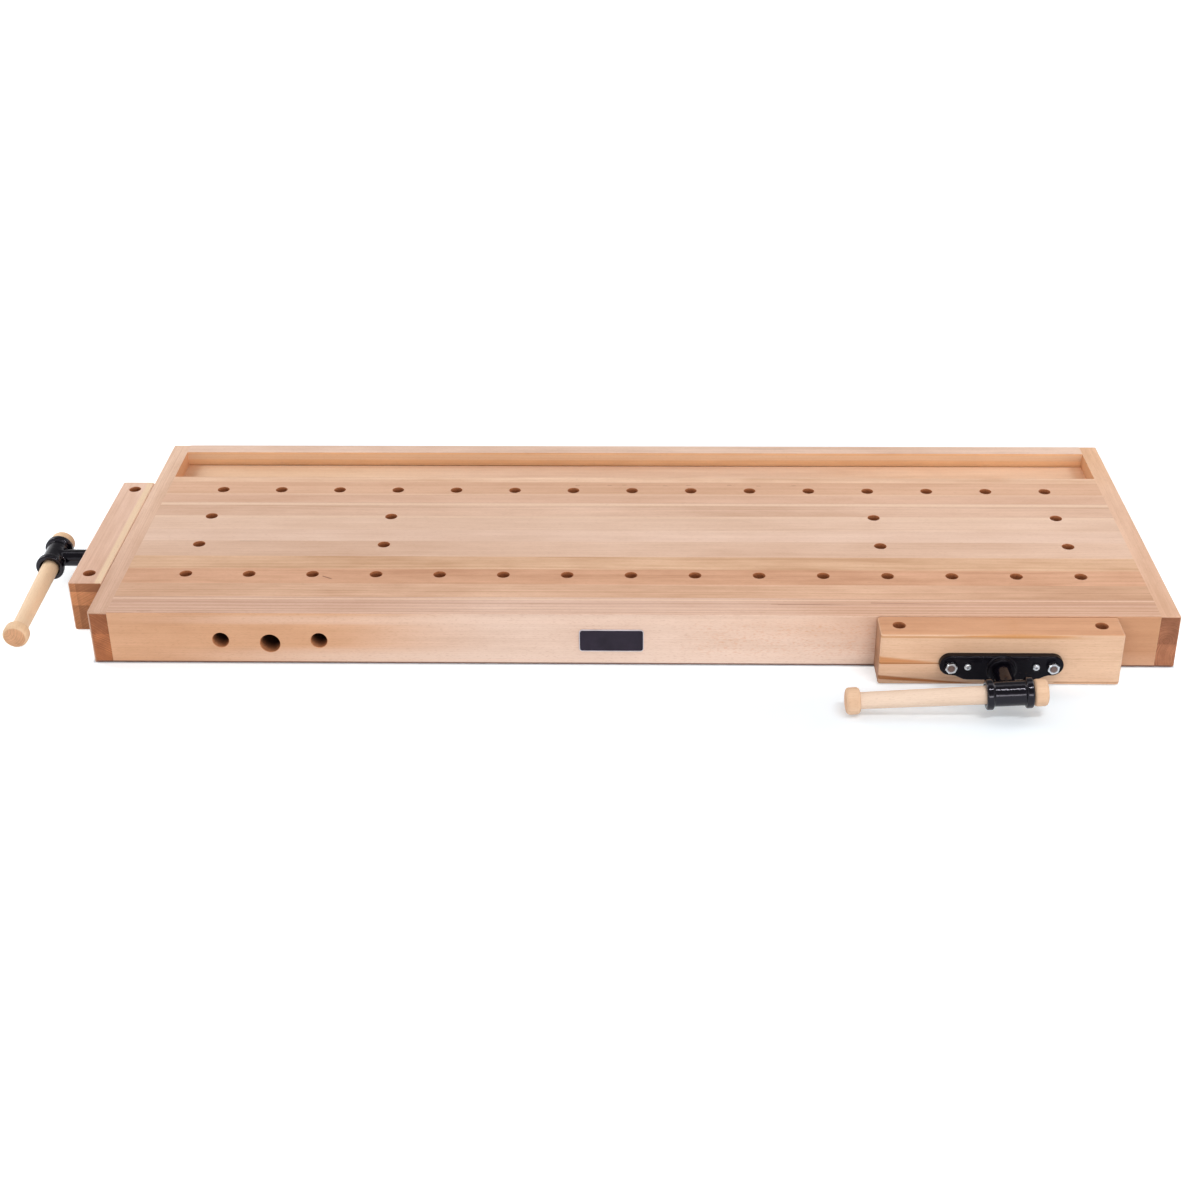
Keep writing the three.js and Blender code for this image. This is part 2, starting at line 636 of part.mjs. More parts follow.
function lagScrew(boardBack) {
  const head = boardBack + 2 * CLEARANCE + FLANGE_THICKNESS;
  const tip = boardBack - LAG_LENGTH;
  const radius = LAG_DIAMETER / 2;
  const shankEnd = head + LAG_HEAD_HEIGHT / 2;
  const shank = turned([[0, tip], [radius, tip + radius], [radius, shankEnd], [0, shankEnd]], FINE_STEPS);
  return solid(hexagon(LAG_ACROSS_FLATS, LAG_HEAD_HEIGHT, head)).add(solid(shank));
}

function placed(mesh, x, z) {
  mesh.position.set(x, 0, z);
  return mesh;
}

// One vise; turn is the angle of the tee about the screw, with the handle's long end along the tee's +X
// and the bar lying on the lower side of the tee's bore.
function vise(name, boardBack, turn) {
  const group = new THREE.Group();
  group.add(
    piece(`${name}_jaw`, viseJaw(), beech),
    piece(`${name}_faceplate`, facePlate(), blackCasting),
    piece(`${name}_rear_yoke`, yoke(), brightSteel),
    piece(`${name}_nut_housing`, nutHousing(boardBack), blackCasting),
  );
  [-1, 1].forEach((side) => {
    const label = side < 0 ? 'left' : 'right';
    const rodX = (side * ROD_SPACING) / 2;
    group.add(
      placed(piece(`${name}_guide_rod_${label}`, guideRod(), brightSteel), rodX, ROD_HEIGHT),
      placed(
        piece(`${name}_rod_nut_${label}`, hexNut(PLATE_FRONT - CLEARANCE - NUT_HEIGHT), brightSteel),
        rodX,
        ROD_HEIGHT,
      ),
      placed(
        piece(`${name}_yoke_nut_${label}`, hexNut(YOKE_BACK + CLEARANCE), brightSteel),
        rodX,
        ROD_HEIGHT,
      ),
      placed(
        piece(`${name}_plate_screw_${label}`, plateScrew(), brightSteel),
        (side * PLATE_SCREW_SPACING) / 2,
        ROD_HEIGHT,
      ),
      placed(
        piece(`${name}_lag_screw_${label}`, lagScrew(boardBack), brightSteel),
        (side * LAG_SPACING) / 2,
        SCREW_HEIGHT,
      ),
    );
  });
  const handle = new THREE.Group();
  handle.position.z = -Math.sign(Math.cos(turn)) * HANDLE_DROP;
  handle.add(
    piece(`${name}_handle_bar`, handleBar(), turnedBeech),
    piece(`${name}_handle_knob`, looseKnob(), turnedBeech),
  );
  const turning = new THREE.Group();
  turning.position.z = SCREW_HEIGHT;
  turning.rotation.y = turn;
  turning.add(
    piece(`${name}_screw`, spindle(), brightSteel),
    piece(`${name}_screw_collar`, retainingCollar(), brightSteel),
    piece(`${name}_tee_head`, teeHead(), blackCasting),
    piece(`${name}_tee_pin`, crossPin(), brightSteel),
    handle,
  );
  group.add(turning);
  return group;
}

const frontVise = vise('front', APRON_THICKNESS, Math.PI - HANDLE_TILT);
frontVise.applyMatrix4(frontPlace);
const endVise = vise('end', CAP_THICKNESS, HANDLE_TILT);
endVise.applyMatrix4(endPlace);

const workbench = new THREE.Group();
workbench.add(benchTop(), frontVise, endVise);

// The origin lies under the middle of the whole top, on the surface that it stands on.
workbench.updateMatrixWorld(true);
const bounds = new THREE.Box3().setFromObject(workbench, true);
const middle = bounds.getCenter(new THREE.Vector3());
workbench.position.set(-middle.x, -middle.y, -bounds.min.z);

export default workbench;
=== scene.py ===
import json
import math
from collections import namedtuple

import bmesh
import bpy
from mathutils import Matrix, Vector


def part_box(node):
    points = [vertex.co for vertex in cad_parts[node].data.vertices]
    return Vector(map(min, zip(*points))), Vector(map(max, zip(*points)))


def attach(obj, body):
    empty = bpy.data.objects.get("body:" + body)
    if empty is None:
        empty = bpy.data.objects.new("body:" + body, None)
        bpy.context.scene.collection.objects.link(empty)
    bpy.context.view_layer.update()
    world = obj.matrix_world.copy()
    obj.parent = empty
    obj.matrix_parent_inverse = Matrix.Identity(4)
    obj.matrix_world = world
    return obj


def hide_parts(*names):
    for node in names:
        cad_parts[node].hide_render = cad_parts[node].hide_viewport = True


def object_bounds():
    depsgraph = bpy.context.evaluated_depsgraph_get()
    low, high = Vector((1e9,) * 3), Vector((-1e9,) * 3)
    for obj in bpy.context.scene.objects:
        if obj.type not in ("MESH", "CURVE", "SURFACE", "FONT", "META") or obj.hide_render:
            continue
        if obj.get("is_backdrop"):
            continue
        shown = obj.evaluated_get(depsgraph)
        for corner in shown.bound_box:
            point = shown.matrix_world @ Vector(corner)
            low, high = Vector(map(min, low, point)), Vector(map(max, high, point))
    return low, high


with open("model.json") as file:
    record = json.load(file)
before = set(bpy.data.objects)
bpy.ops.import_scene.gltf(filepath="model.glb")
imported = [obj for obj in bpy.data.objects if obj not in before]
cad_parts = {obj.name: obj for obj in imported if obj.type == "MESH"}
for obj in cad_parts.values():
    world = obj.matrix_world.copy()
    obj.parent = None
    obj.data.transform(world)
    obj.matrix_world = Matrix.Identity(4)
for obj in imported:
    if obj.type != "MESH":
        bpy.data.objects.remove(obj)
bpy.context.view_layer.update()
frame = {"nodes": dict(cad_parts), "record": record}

# A joiner's bench top with a front vise and an end vise. Sizes below are in millimetres and are turned into
# metres by MM; each vise is drawn with the bench face at y = 0 and its jaw towards -Y, then put into place.
MM = 0.001

# Holes and edges of the boards
DOG_RADIUS = 9.5
DOG_PITCH = 100
DOG_FIRST_ROW = 124
DOG_END_MARGIN = 125
DOG_COLUMNS = 15
VISE_DOG_STEPS = 3
RIM_CHAMFER = 0.6
ARRIS = 1.1
JAW_ARRIS = 4
CAP_ARRIS = 2.2
LEFT_ARRIS = 5.5
APRON_ARRIS = 1.6
SMALL_ARRIS = 0.5
LOWER_ARRIS = 2
CAP_EDGE_RADIUS = 5
SCREW_HOLE = 15.25
ROD_HOLE = 12.5

# Vise hardware
SCREW_HEIGHT = 35
ROD_HEIGHT = 40.5
ROD_X = 75.3
ROD_RADIUS = 11
STUD_RADIUS = 5
JAW_FRONT = -55
JAW_BACK = -0.5
PLATE_BACK = JAW_FRONT - 0.3
PLATE_FRONT = PLATE_BACK - 11
PLATE_END_RADIUS = 16.5
BELLY_DROP = 24.5
BELLY_HALF = 47
PLATE_EDGE = 2.5
BOSS_RADIUS = 20.5
BOSS_FRONT = PLATE_FRONT - 7
BOSS_EDGE = 2.5
BOSS_FILLET = 4
SCREW_RADIUS = 12
THREAD_DEPTH = 2.5
THREAD_PITCH = 5
JOURNAL_RADIUS = 8
NUT_FLATS = 16
NUT_HEIGHT = 8
SEAT_GAP = 0.3
PLATE_SCREW_X = 50.5
PLATE_SCREW_HEAD = 5.4
PLATE_SCREW_HEIGHT = 4.5
YOKE_FRONT = 252.9
YOKE_BACK = 262.9

# Tee head and turned handle
STEM_FACE = BOSS_FRONT - 0.3
TEE_Y = STEM_FACE - 58.5
TEE_HALF = 34
TEE_BORE = 15.5
TEE_BARREL = 18.5
TEE_RIM = 23
TEE_RIM_WIDTH = 11
TEE_ROUND = 3
TEE_STEM = 14
STEM_FILLET = 4
HANDLE_THICK = 14.25
HANDLE_THIN = 12.5
HANDLE_LENGTH = 249
HANDLE_DROP = 0.95
HANDLE_TILT = math.radians(3.4)
KNOB_RADIUS = 20
KNOB_LENGTH = 23
KNOB_ROUND = 6
KNOB_DOME = 1.6

# Steps of round shapes
ROUND = 64
SMALL_ROUND = 32
ARC = 6

record = frame["record"]
body_of = {node: body for body, nodes in record["behaviour"]["bodies"].items() for node in nodes}

apron_low, apron_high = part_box("front_apron")
left_low, left_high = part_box("left_end_cap")
right_low, right_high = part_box("right_end_cap")
front_jaw_low, front_jaw_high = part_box("front_jaw")
end_jaw_low, end_jaw_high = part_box("end_jaw")
BENCH_MIDDLE = (left_low.x + right_high.x) / 2
BENCH_FRONT = apron_low.y
BENCH_TOP = apron_high.z
FRONT_PLACE = Matrix.Translation(((front_jaw_low.x + front_jaw_high.x) / 2, BENCH_FRONT, 0))
SPARE_PLACE = Matrix.Translation((2 * BENCH_MIDDLE - FRONT_PLACE.translation.x, BENCH_FRONT, 0))
END_PLACE = Matrix.Translation((left_low.x, (end_jaw_low.y + end_jaw_high.y) / 2, 0))
END_PLACE = END_PLACE @ Matrix.Rotation(-math.pi / 2, 4, "Z")
FAR_LEFT, FAR_RIGHT = left_low.x - 0.3, right_high.x + 0.9


def srgb(red, green, blue):
    """Linear colour of an everyday 0 to 255 colour."""
    def linear(value):
        share = value / 255
        return share / 12.92 if share <= 0.04045 else ((share + 0.055) / 1.055) ** 2.4
    return (linear(red), linear(green), linear(blue), 1.0)


def scaled(colour, red, green, blue):
    return (min(colour[0] * red, 1.0), min(colour[1] * green, 1.0), min(colour[2] * blue, 1.0), 1.0)


class Graph:
    """Shader nodes of one material, added by short calls that take sockets or constants."""

    def __init__(self, tree):
        self.nodes = tree.nodes
        self.links = tree.links
        self.nodes.clear()

    def put(self, socket, value):
        if isinstance(value, bpy.types.NodeSocket):
            self.links.new(value, socket)
        else:
            socket.default_value = value

    def add(self, kind, inputs, output=0, **settings):
        made = self.nodes.new("ShaderNode" + kind)
        for key, value in settings.items():
            setattr(made, key, value)
        for key, value in inputs.items():
            self.put(made.inputs[key], value)
        return made.outputs[output] if len(made.outputs) else None

    def math(self, operation, first, second=0.0):
        return self.add("Math", {0: first, 1: second}, operation=operation)

    def sum(self, *terms):
        total = terms[0]
        for term in terms[1:]:
            total = self.math("ADD", total, term)
        return total

    def times(self, value, factor):
        return self.math("MULTIPLY", value, factor)

    def around(self, value, amount):
        """A value from 0 to 1 turned into a swing of the given amount about nothing."""
        return self.times(self.math("SUBTRACT", value, 0.5), amount)

    def vector(self, x, y, z):
        return self.add("CombineXYZ", {0: x, 1: y, 2: z})

    def noise(self, vector, scale=1.0, detail=2.0, roughness=0.5):
        inputs = {"Vector": vector, "Scale": scale, "Detail": detail, "Roughness": roughness}
        return self.add("TexNoise", inputs)

    def ramp(self, value, low, high):
        """Smooth step from 0 at low to 1 at high."""
        inputs = {0: value, 1: low, 2: high}
        return self.add("MapRange", inputs, interpolation_type="SMOOTHSTEP")

    def mix(self, factor, first, second, blend="MIX"):
        return self.add("Mix", {0: factor, 6: first, 7: second}, 2, data_type="RGBA", blend_type=blend)

    def bump(self, height, distance, strength=1.0):
        return self.add("Bump", {"Height": height, "Distance": distance, "Strength": strength})

    def surface(self, inputs):
        shader = self.add("BsdfPrincipled", inputs)
        self.add("OutputMaterial", {"Surface": shader})


def material(name):
    made = bpy.data.materials.new(name)
    made.use_nodes = True
    return made, Graph(made.node_tree)


# Beech cut from a log: growth rings about a distant pith, fibres and short flecks along the grain, and darker
# end grain. Layers are glue lines across the board where the grain starts afresh, drifts are tones that the board
# passes into along its grain (on the caps and the end jaw painted light, lighter towards the rear, and on the
# apron's right end partly painted shade), sides are faces of another tone (another cut of the log on some boards,
# painted shade on the recessed faces of the rail and of the caps over the tray), and streaks are bands of other
# wood that may slope and taper along the grain, some of them painted light and shade as noted where they are
# given. The contact shade is painted shade: a dark line along the lowest edge that stands on the floor, for the
# shadow where the bench meets the floor.
WOBBLE = 0.009
RINGS_PER_METRE = 120
LATEWOOD_PER_METRE = 300
LAYER_JUMP = 0.037
# Painted contact shade: its tone, the heights between which it fades in, and how far from the bench's ends it stops
CONTACT_SHADE_TONE = (118, 84, 72)
CONTACT_SHADE_LOW, CONTACT_SHADE_HIGH = 0.0022, 0.004
CONTACT_SHADE_END = 0.005
RAY_FADE = 0.1
RAY_SOFT = 0.02
BORE_SHADE_DEPTH = 0.03
Streak = namedtuple(
    "Streak", "axis middle half tone strength first last slope taper sway",
    defaults=(FAR_LEFT, FAR_RIGHT, 0.0, 0.0, 0.4),
)


def wood(name, tone, grain=0, pith=(0.02, -0.08), seed=0.0, contrast=1.0, end=None, drifts=(), layers=(),
         sides=(), streaks=(), rays=(), contact_shade=False):
    made, graph = material(name)
    add, times = graph.math, graph.times
    texture = graph.nodes.new("ShaderNodeTexCoord")
    place = graph.add("SeparateXYZ", {0: texture.outputs["Object"]}).node.outputs
    normal = graph.add("SeparateXYZ", {0: texture.outputs["Normal"]}).node.outputs
    across, up = place[1 - grain], place[2]
    jump, layer_light = 0.0, 0.0
    for axis, at, lighter in layers:
        above = add("GREATER_THAN", place[axis], at)
        jump = graph.sum(times(above, LAYER_JUMP), jump)
        layer_light = graph.sum(times(above, lighter), layer_light)
    along = graph.sum(place[grain], seed)

    def stretched(lengthwise, crosswise, detail, roughness=0.5):
        spot = graph.vector(times(along, lengthwise), times(across, crosswise), times(up, crosswise))
        return graph.noise(spot, 1.0, detail, roughness)

    wobble = graph.around(stretched(1.7, 5.0, 2.0), WOBBLE)
    side = graph.sum(across, wobble, jump, -pith[0])
    rise = graph.sum(up, times(wobble, 0.6), times(jump, -0.7), -pith[1])
    radius = add("SQRT", graph.sum(times(side, side), times(rise, rise)))
    rings = {"W": graph.sum(times(radius, RINGS_PER_METRE), 7 * seed), "Detail": 4.0, "Roughness": 0.66}
    bands = graph.add("TexNoise", rings, noise_dimensions="1D")
    latewood = add("POWER", add("FRACT", times(radius, LATEWOOD_PER_METRE)), 6.0)
    fibre = stretched(7.0, 520.0, 3.0, 0.6)
    strand = stretched(3.0, 130.0, 2.0)
    fleck = graph.ramp(stretched(170.0, 1300.0, 0.0), 0.62, 0.74)
    cloud = stretched(2.2, 12.0, 3.0)
    mottle = stretched(11.0, 40.0, 3.0, 0.6)
    light = graph.sum(
        0.5,
        graph.around(bands, 0.65 * contrast),
        graph.around(strand, 0.45 * contrast),
        graph.around(cloud, 1.0 * contrast),
        graph.around(mottle, 0.7 * contrast),
        graph.around(fibre, 0.4 * contrast),
        times(latewood, -0.1 * contrast),
        times(layer_light, 0.3),
    )

    def drifting(colour, changes):
        for far_tone, first, last in changes:
            colour = graph.mix(graph.ramp(place[grain], first, last), colour, far_tone)
        return colour

    colour = drifting(tone, drifts)
    for axis, sign, side_tone, *changes in sides:
        colour = graph.mix(graph.ramp(times(normal[axis], sign), 0.55, 0.9), colour, drifting(side_tone, changes))
    figure = graph.mix(light, (0.82, 0.74, 0.67, 1.0), (1.18, 1.26, 1.33, 1.0))
    colour = graph.mix(1.0, colour, figure, "MULTIPLY")
    for one in streaks:
        travel = graph.add("MapRange", {0: place[grain], 1: one.first, 2: one.last})
        offset = graph.sum(place[one.axis], times(wobble, one.sway), times(travel, -one.slope), -one.middle)
        inside = graph.sum(one.half, times(travel, -one.taper * one.half), times(add("ABSOLUTE", offset), -1.0))
        band = graph.ramp(inside, 0.0, 0.6 * one.half)
        band = times(band, graph.ramp(travel, 0.0, 0.02))
        band = times(band, graph.ramp(travel, 1.0, 0.7))
        band = times(band, graph.sum(0.35, times(strand, 0.6), times(fibre, 0.7)))
        colour = graph.mix(times(band, one.strength), colour, one.tone)
    for first, last, low, high in rays:
        patch = times(graph.ramp(place[grain], first, first + RAY_FADE), graph.ramp(place[grain], last, last - RAY_FADE))
        patch = times(patch, times(graph.ramp(up, low, low + RAY_SOFT), graph.ramp(up, high, high - RAY_SOFT)))
        ray = times(graph.ramp(stretched(150.0, 430.0, 1.0), 0.52, 0.68), patch)
        colour = graph.mix(times(ray, 0.36), colour, scaled(tone, 0.97, 0.88, 0.82))
    colour = graph.mix(times(fleck, 0.2), colour, scaled(tone, 0.62, 0.5, 0.42))
    end_tone = end or scaled(tone, 0.6, 0.47, 0.4)
    pores = graph.noise(texture.outputs["Object"], 900.0)
    end_light = graph.sum(
        0.5,
        graph.around(pores, 0.35),
        graph.around(bands, 1.5 * contrast),
        graph.around(mottle, 1.2 * contrast),
        times(latewood, -0.3 * contrast),
        layer_light,
    )
    end_colour = graph.mix(end_light, scaled(end_tone, 0.62, 0.58, 0.55), scaled(end_tone, 1.38, 1.42, 1.45))
    facing = graph.ramp(add("ABSOLUTE", normal[grain]), 0.8, 0.995)
    colour = graph.mix(facing, colour, end_colour)
    # Painted shade: a dark line along the lowest edge for the shadow where the board stands on the floor, fading out
    # before the bench's ends and left off the underside
    if contact_shade:
        line = times(graph.ramp(up, CONTACT_SHADE_HIGH, CONTACT_SHADE_LOW), graph.ramp(normal[2], -0.9, -0.6))
        for end_x, inward in ((left_low.x, CONTACT_SHADE_END), (right_high.x, -CONTACT_SHADE_END)):
            line = times(line, graph.ramp(place[0], end_x + 0.4 * inward, end_x + 1.4 * inward))
        colour = graph.mix(line, colour, srgb(*CONTACT_SHADE_TONE))
    height = graph.sum(fibre, times(fleck, -0.5), times(latewood, -0.25))
    graph.surface({
        "Base Color": colour,
        "Roughness": graph.sum(0.4, times(fibre, 0.22)),
        "Specular IOR Level": 0.3,
        "Normal": graph.bump(height, 0.00012, 0.35),
    })
    return made


def bored_wood(name, tone, mouth=None):
    """Wall of a drilled hole: darker, with the drill's fine rings, and painted shade that darkens it further in from a
    mouth along Y.
    """
    made, graph = material(name)
    texture = graph.nodes.new("ShaderNodeTexCoord")
    place = texture.outputs["Object"]
    speckle = graph.noise(place, 700.0, 3.0)
    drill = graph.noise(place, 2600.0, 1.0)
    colour = graph.mix(speckle, scaled(tone, 0.6, 0.6, 0.6), scaled(tone, 1.4, 1.4, 1.4))
    if mouth is not None:
        # Painted shade: the wall goes nearly black further into the bore, where light hardly reaches
        depth = graph.add("SeparateXYZ", {0: place}).node.outputs[1]
        colour = graph.mix(graph.ramp(depth, mouth, mouth + BORE_SHADE_DEPTH), colour, scaled(tone, 0.06, 0.05, 0.05))
    graph.surface({
        "Base Color": colour,
        "Roughness": graph.sum(0.6, graph.times(drill, 0.2)),
        "Specular IOR Level": 0.2,
        "Normal": graph.bump(drill, 0.0001, 0.5),
    })
    return made


def enamel(name, tone, coarse, roughness, shine, relief, stretch=(1.0, 1.0, 1.0)):
    """Black enamel over a sand casting: a pebbled skin, drawn out along the axes whose stretch is small."""
    made, graph = material(name)
    texture = graph.nodes.new("ShaderNodeTexCoord")
    place = texture.outputs["Object"]
    pebble = graph.noise(graph.add("Mapping", {"Vector": place, "Scale": stretch}), coarse, 2.0, 0.5)
    patch = graph.noise(place, 60.0, 2.0)
    colour = graph.mix(patch, scaled(tone, 0.7, 0.7, 0.7), scaled(tone, 1.5, 1.5, 1.6))
    graph.surface({
        "Base Color": colour,
        "Roughness": graph.sum(roughness, graph.around(patch, 0.08)),
        "Specular IOR Level": shine,
        "Specular Tint": (0.92, 0.88, 1.0, 1.0),
        "Normal": graph.bump(pebble, relief, 0.6),
    })
    return made


def metal(name, tone, roughness, stretch=(1.0, 1.0, 1.0), scale=900.0):
    """Bright metal with fine scratches, drawn out along the axis whose stretch is small."""
    made, graph = material(name)
    texture = graph.nodes.new("ShaderNodeTexCoord")
    place = graph.add("Mapping", {"Vector": texture.outputs["Object"], "Scale": stretch})
    scratch = graph.noise(place, scale, 3.0, 0.6)
    haze = graph.noise(texture.outputs["Object"], 110.0, 2.0)
    colour = graph.mix(haze, scaled(tone, 0.8, 0.8, 0.8), scaled(tone, 1.15, 1.15, 1.15))
    graph.surface({
        "Base Color": colour,
        "Metallic": 1.0,
        "Roughness": graph.sum(roughness, graph.around(scratch, 0.3)),
        "Normal": graph.bump(scratch, 0.00002, 0.5),
    })
    return made


black_casting = enamel("black_casting", srgb(10, 8, 13), 280.0, 0.22, 0.14, 0.0003)
tee_casting = enamel("tee_casting", srgb(8, 6, 12), 300.0, 0.11, 0.38, 0.0005, (1.0, 0.4, 0.4))
plate_black = enamel("plate_black", srgb(40, 34, 43), 900.0, 0.45, 0.16, 0.0004)
plate_rim = enamel("plate_rim", srgb(214, 206, 208), 900.0, 0.5, 0.26, 0.0006)
zinc = metal("zinc", srgb(214, 216, 220), 0.24)
drawn_steel = metal("drawn_steel", srgb(190, 192, 195), 0.28, (1.0, 0.015, 1.0))
oiled_steel = metal("oiled_steel", srgb(132, 131, 130), 0.36)
dark_steel = metal("dark_steel", srgb(46, 45, 46), 0.4)
stud_steel = metal("stud_steel", srgb(124, 106, 101), 0.5)
hole_wood = bored_wood("hole_wood", srgb(172, 108, 70))
bore_wood = bored_wood("bore_wood", srgb(206, 140, 98), BENCH_FRONT)


# Meshes

def arc(radius, along, round_size, first, last, steps=ARC):
    """Points of a round on a turned profile, about (radius, along), from one angle to another in degrees."""
    angles = [math.radians(first + (last - first) * i / steps) for i in range(steps + 1)]
    return [(radius + round_size * math.cos(a), along + round_size * math.sin(a)) for a in angles]


def turned(profile, steps=ROUND, axis=1, closed=False):
    """Points and faces of a profile of (radius, along) turned about X, Y or Z."""
    rows, points, faces = [], [], []
    for radius, along in profile:
        count = 1 if radius < 1e-6 else steps
        rows.append([len(points) + i for i in range(count)])
        for i in range(count):
            angle = 2 * math.pi * i / steps
            first, second = radius * math.cos(angle), radius * math.sin(angle)
            points.append({0: (along, first, second), 1: (first, along, second), 2: (first, second, along)}[axis])
    pairs = list(zip(rows, rows[1:])) + ([(rows[-1], rows[0])] if closed else [])
    for low, high in pairs:
        for i in range(steps):
            ring = [low[i % len(low)], low[(i + 1) % len(low)], high[(i + 1) % len(high)], high[i % len(high)]]
            faces.append(list(dict.fromkeys(ring)))
    return points, [face for face in faces if len(face) > 2]


def rings(outlines, cap_first=True, cap_last=True):
    """Points and faces of a skin over outlines that have equally many points."""
    count = len(outlines[0])
    points = [point for outline in outlines for point in outline]
    faces = []
    for level in range(len(outlines) - 1):
        for i in range(count):
            near, far = level * count + i, level * count + (i + 1) % count
            faces.append([near, far, far + count, near + count])
    if cap_first:
        faces.append(list(range(count)))
    if cap_last:
        faces.append(list(range(len(points) - count, len(points))))
    return points, faces


def moved(shape, offset):
    points, faces = shape
    return [tuple(a + b for a, b in zip(point, offset)) for point in points], faces


def joined(*shapes):
    points, faces = [], []
    for shape_points, shape_faces in shapes:
        start = len(points)
        points.extend(shape_points)
        faces.extend([[index + start for index in face] for face in shape_faces])
    return points, faces


def shade(mesh, angle=32):
    mesh.polygons.foreach_set("use_smooth", [True] * len(mesh.polygons))
    mesh.set_sharp_from_angle(angle=math.radians(angle))


def mesh_of(name, shape, unit=MM, slot=0):
    points, faces = shape
    mesh = bpy.data.meshes.new(name)
    mesh.from_pydata([tuple(unit * value for value in point) for point in points], [], faces)
    work = bmesh.new()
    work.from_mesh(mesh)
    bmesh.ops.recalc_face_normals(work, faces=work.faces)
    for face in work.faces:
        face.material_index = slot
    work.to_mesh(mesh)
    work.free()
    return mesh


def painted(mesh, slot, chosen):
    """The mesh with the faces that a test of their middle and normal chooses in another of its materials."""
    for face in mesh.polygons:
        if chosen(face.center, face.normal):
            face.material_index = slot
    return mesh


def linked(name, mesh, place=None):
    made = bpy.data.objects.new(name, mesh)
    bpy.context.scene.collection.objects.link(made)
    made.matrix_world = place or Matrix.Identity(4)
    return made


def combined(name, mesh, tool, operation):
    """The mesh cut by, or cut down to, a tool's mesh."""
    body, cutter = linked("body", mesh), linked("cutter", tool)
    change = body.modifiers.new("change", "BOOLEAN")
    change.object, change.operation, change.solver = cutter, operation, "EXACT"
    bpy.context.view_layer.update()
    result = bpy.data.meshes.new_from_object(body.evaluated_get(bpy.context.evaluated_depsgraph_get()))
    result.name = name
    for old in (body, cutter):
        bpy.data.objects.remove(old)
    return result


def dress(node, mesh, materials, place=None, angle=32, even=False):
    """The finished piece that stands for a node of the model, on the same body."""
    for index, one in enumerate(materials):
        if index < len(mesh.materials):
            mesh.materials[index] = one
        else:
            mesh.materials.append(one)
    shade(mesh, angle)
    piece = linked(node + "_finished", mesh, place)
    if even:
        piece.modifiers.new("even", "WEIGHTED_NORMAL").keep_sharp = True
    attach(piece, body_of[node])
    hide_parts(node)
    return piece


SIDES = {"l": (0, 0), "r": (0, 1), "f": (1, 0), "b": (1, 1), "d": (2, 0), "t": (2, 1)}


def board(name, low, high, edges):
    """A board between two corners in metres, with edges such as "ft", front and top, rounded by a radius in mm."""
    work = bmesh.new()
    bmesh.ops.create_cube(work, size=1.0)
    corners = (low, high)
    for vert in work.verts:
        vert.co = [corners[vert.co[axis] > 0][axis] for axis in range(3)]

    def lies_on(edge, code):
        places = [SIDES[letter] for letter in code]
        return all(abs(v.co[a] - corners[s][a]) < 1e-6 for v in edge.verts for a, s in places)

    for radius in sorted(set(edges.values()), reverse=True):
        codes = [code for code, size in edges.items() if size == radius]
        chosen = [edge for edge in work.edges if any(lies_on(edge, code) for code in codes)]
        bmesh.ops.bevel(work, geom=chosen, offset=radius * MM, segments=4, profile=0.5, affect="EDGES")
    mesh = bpy.data.meshes.new(name)
    work.to_mesh(mesh)
    work.free()
    return mesh


def drill(radius, start, end, axis, first_rim=RIM_CHAMFER, last_rim=RIM_CHAMFER):
    """Cutter of a hole with a small chamfer at each end, in mm."""
    past = 4.0
    return turned([
        (0, start - past),
        (radius + first_rim, start - past),
        (radius + first_rim, start),
        (radius, start + first_rim),
        (radius, end - last_rim),
        (radius + last_rim, end),
        (radius + last_rim, end + past),
        (0, end + past),
    ], 48, axis)


def holed(name, mesh, shapes, place=None):
    """The mesh with holes whose walls take its second material."""
    tool = mesh_of(name + "_holes", joined(*shapes), MM, 1)
    if place:
        tool.transform(place)
    for target in (mesh, tool):
        while len(target.materials) < 2:
            target.materials.append(None)
    return combined(name, mesh, tool, "DIFFERENCE")


def vise_holes(screw, rod, start, end):
    drills = [moved(drill(screw, start, end, 1), (0, 0, SCREW_HEIGHT))]
    drills += [moved(drill(rod, start, end, 1), (side * ROD_X, 0, ROD_HEIGHT)) for side in (-1, 1)]
    return drills


# Bench boards
APRON_EDGES = {"ft": APRON_ARRIS, "fd": LOWER_ARRIS}


def in_frame(x, y):
    """A place on the bench, in mm from its middle and its front, as mm in the model's frame."""
    return (x + BENCH_MIDDLE / MM, y + BENCH_FRONT / MM, 0)


def dog_places():
    last = DOG_COLUMNS - 1
    full = {0, 3}
    lined_up = {0, VISE_DOG_STEPS, last - VISE_DOG_STEPS, last}
    for row in range(4):
        for column in range(DOG_COLUMNS):
            if row in full or column in lined_up:
                yield (column - last / 2) * DOG_PITCH, DOG_FIRST_ROW + row * DOG_PITCH


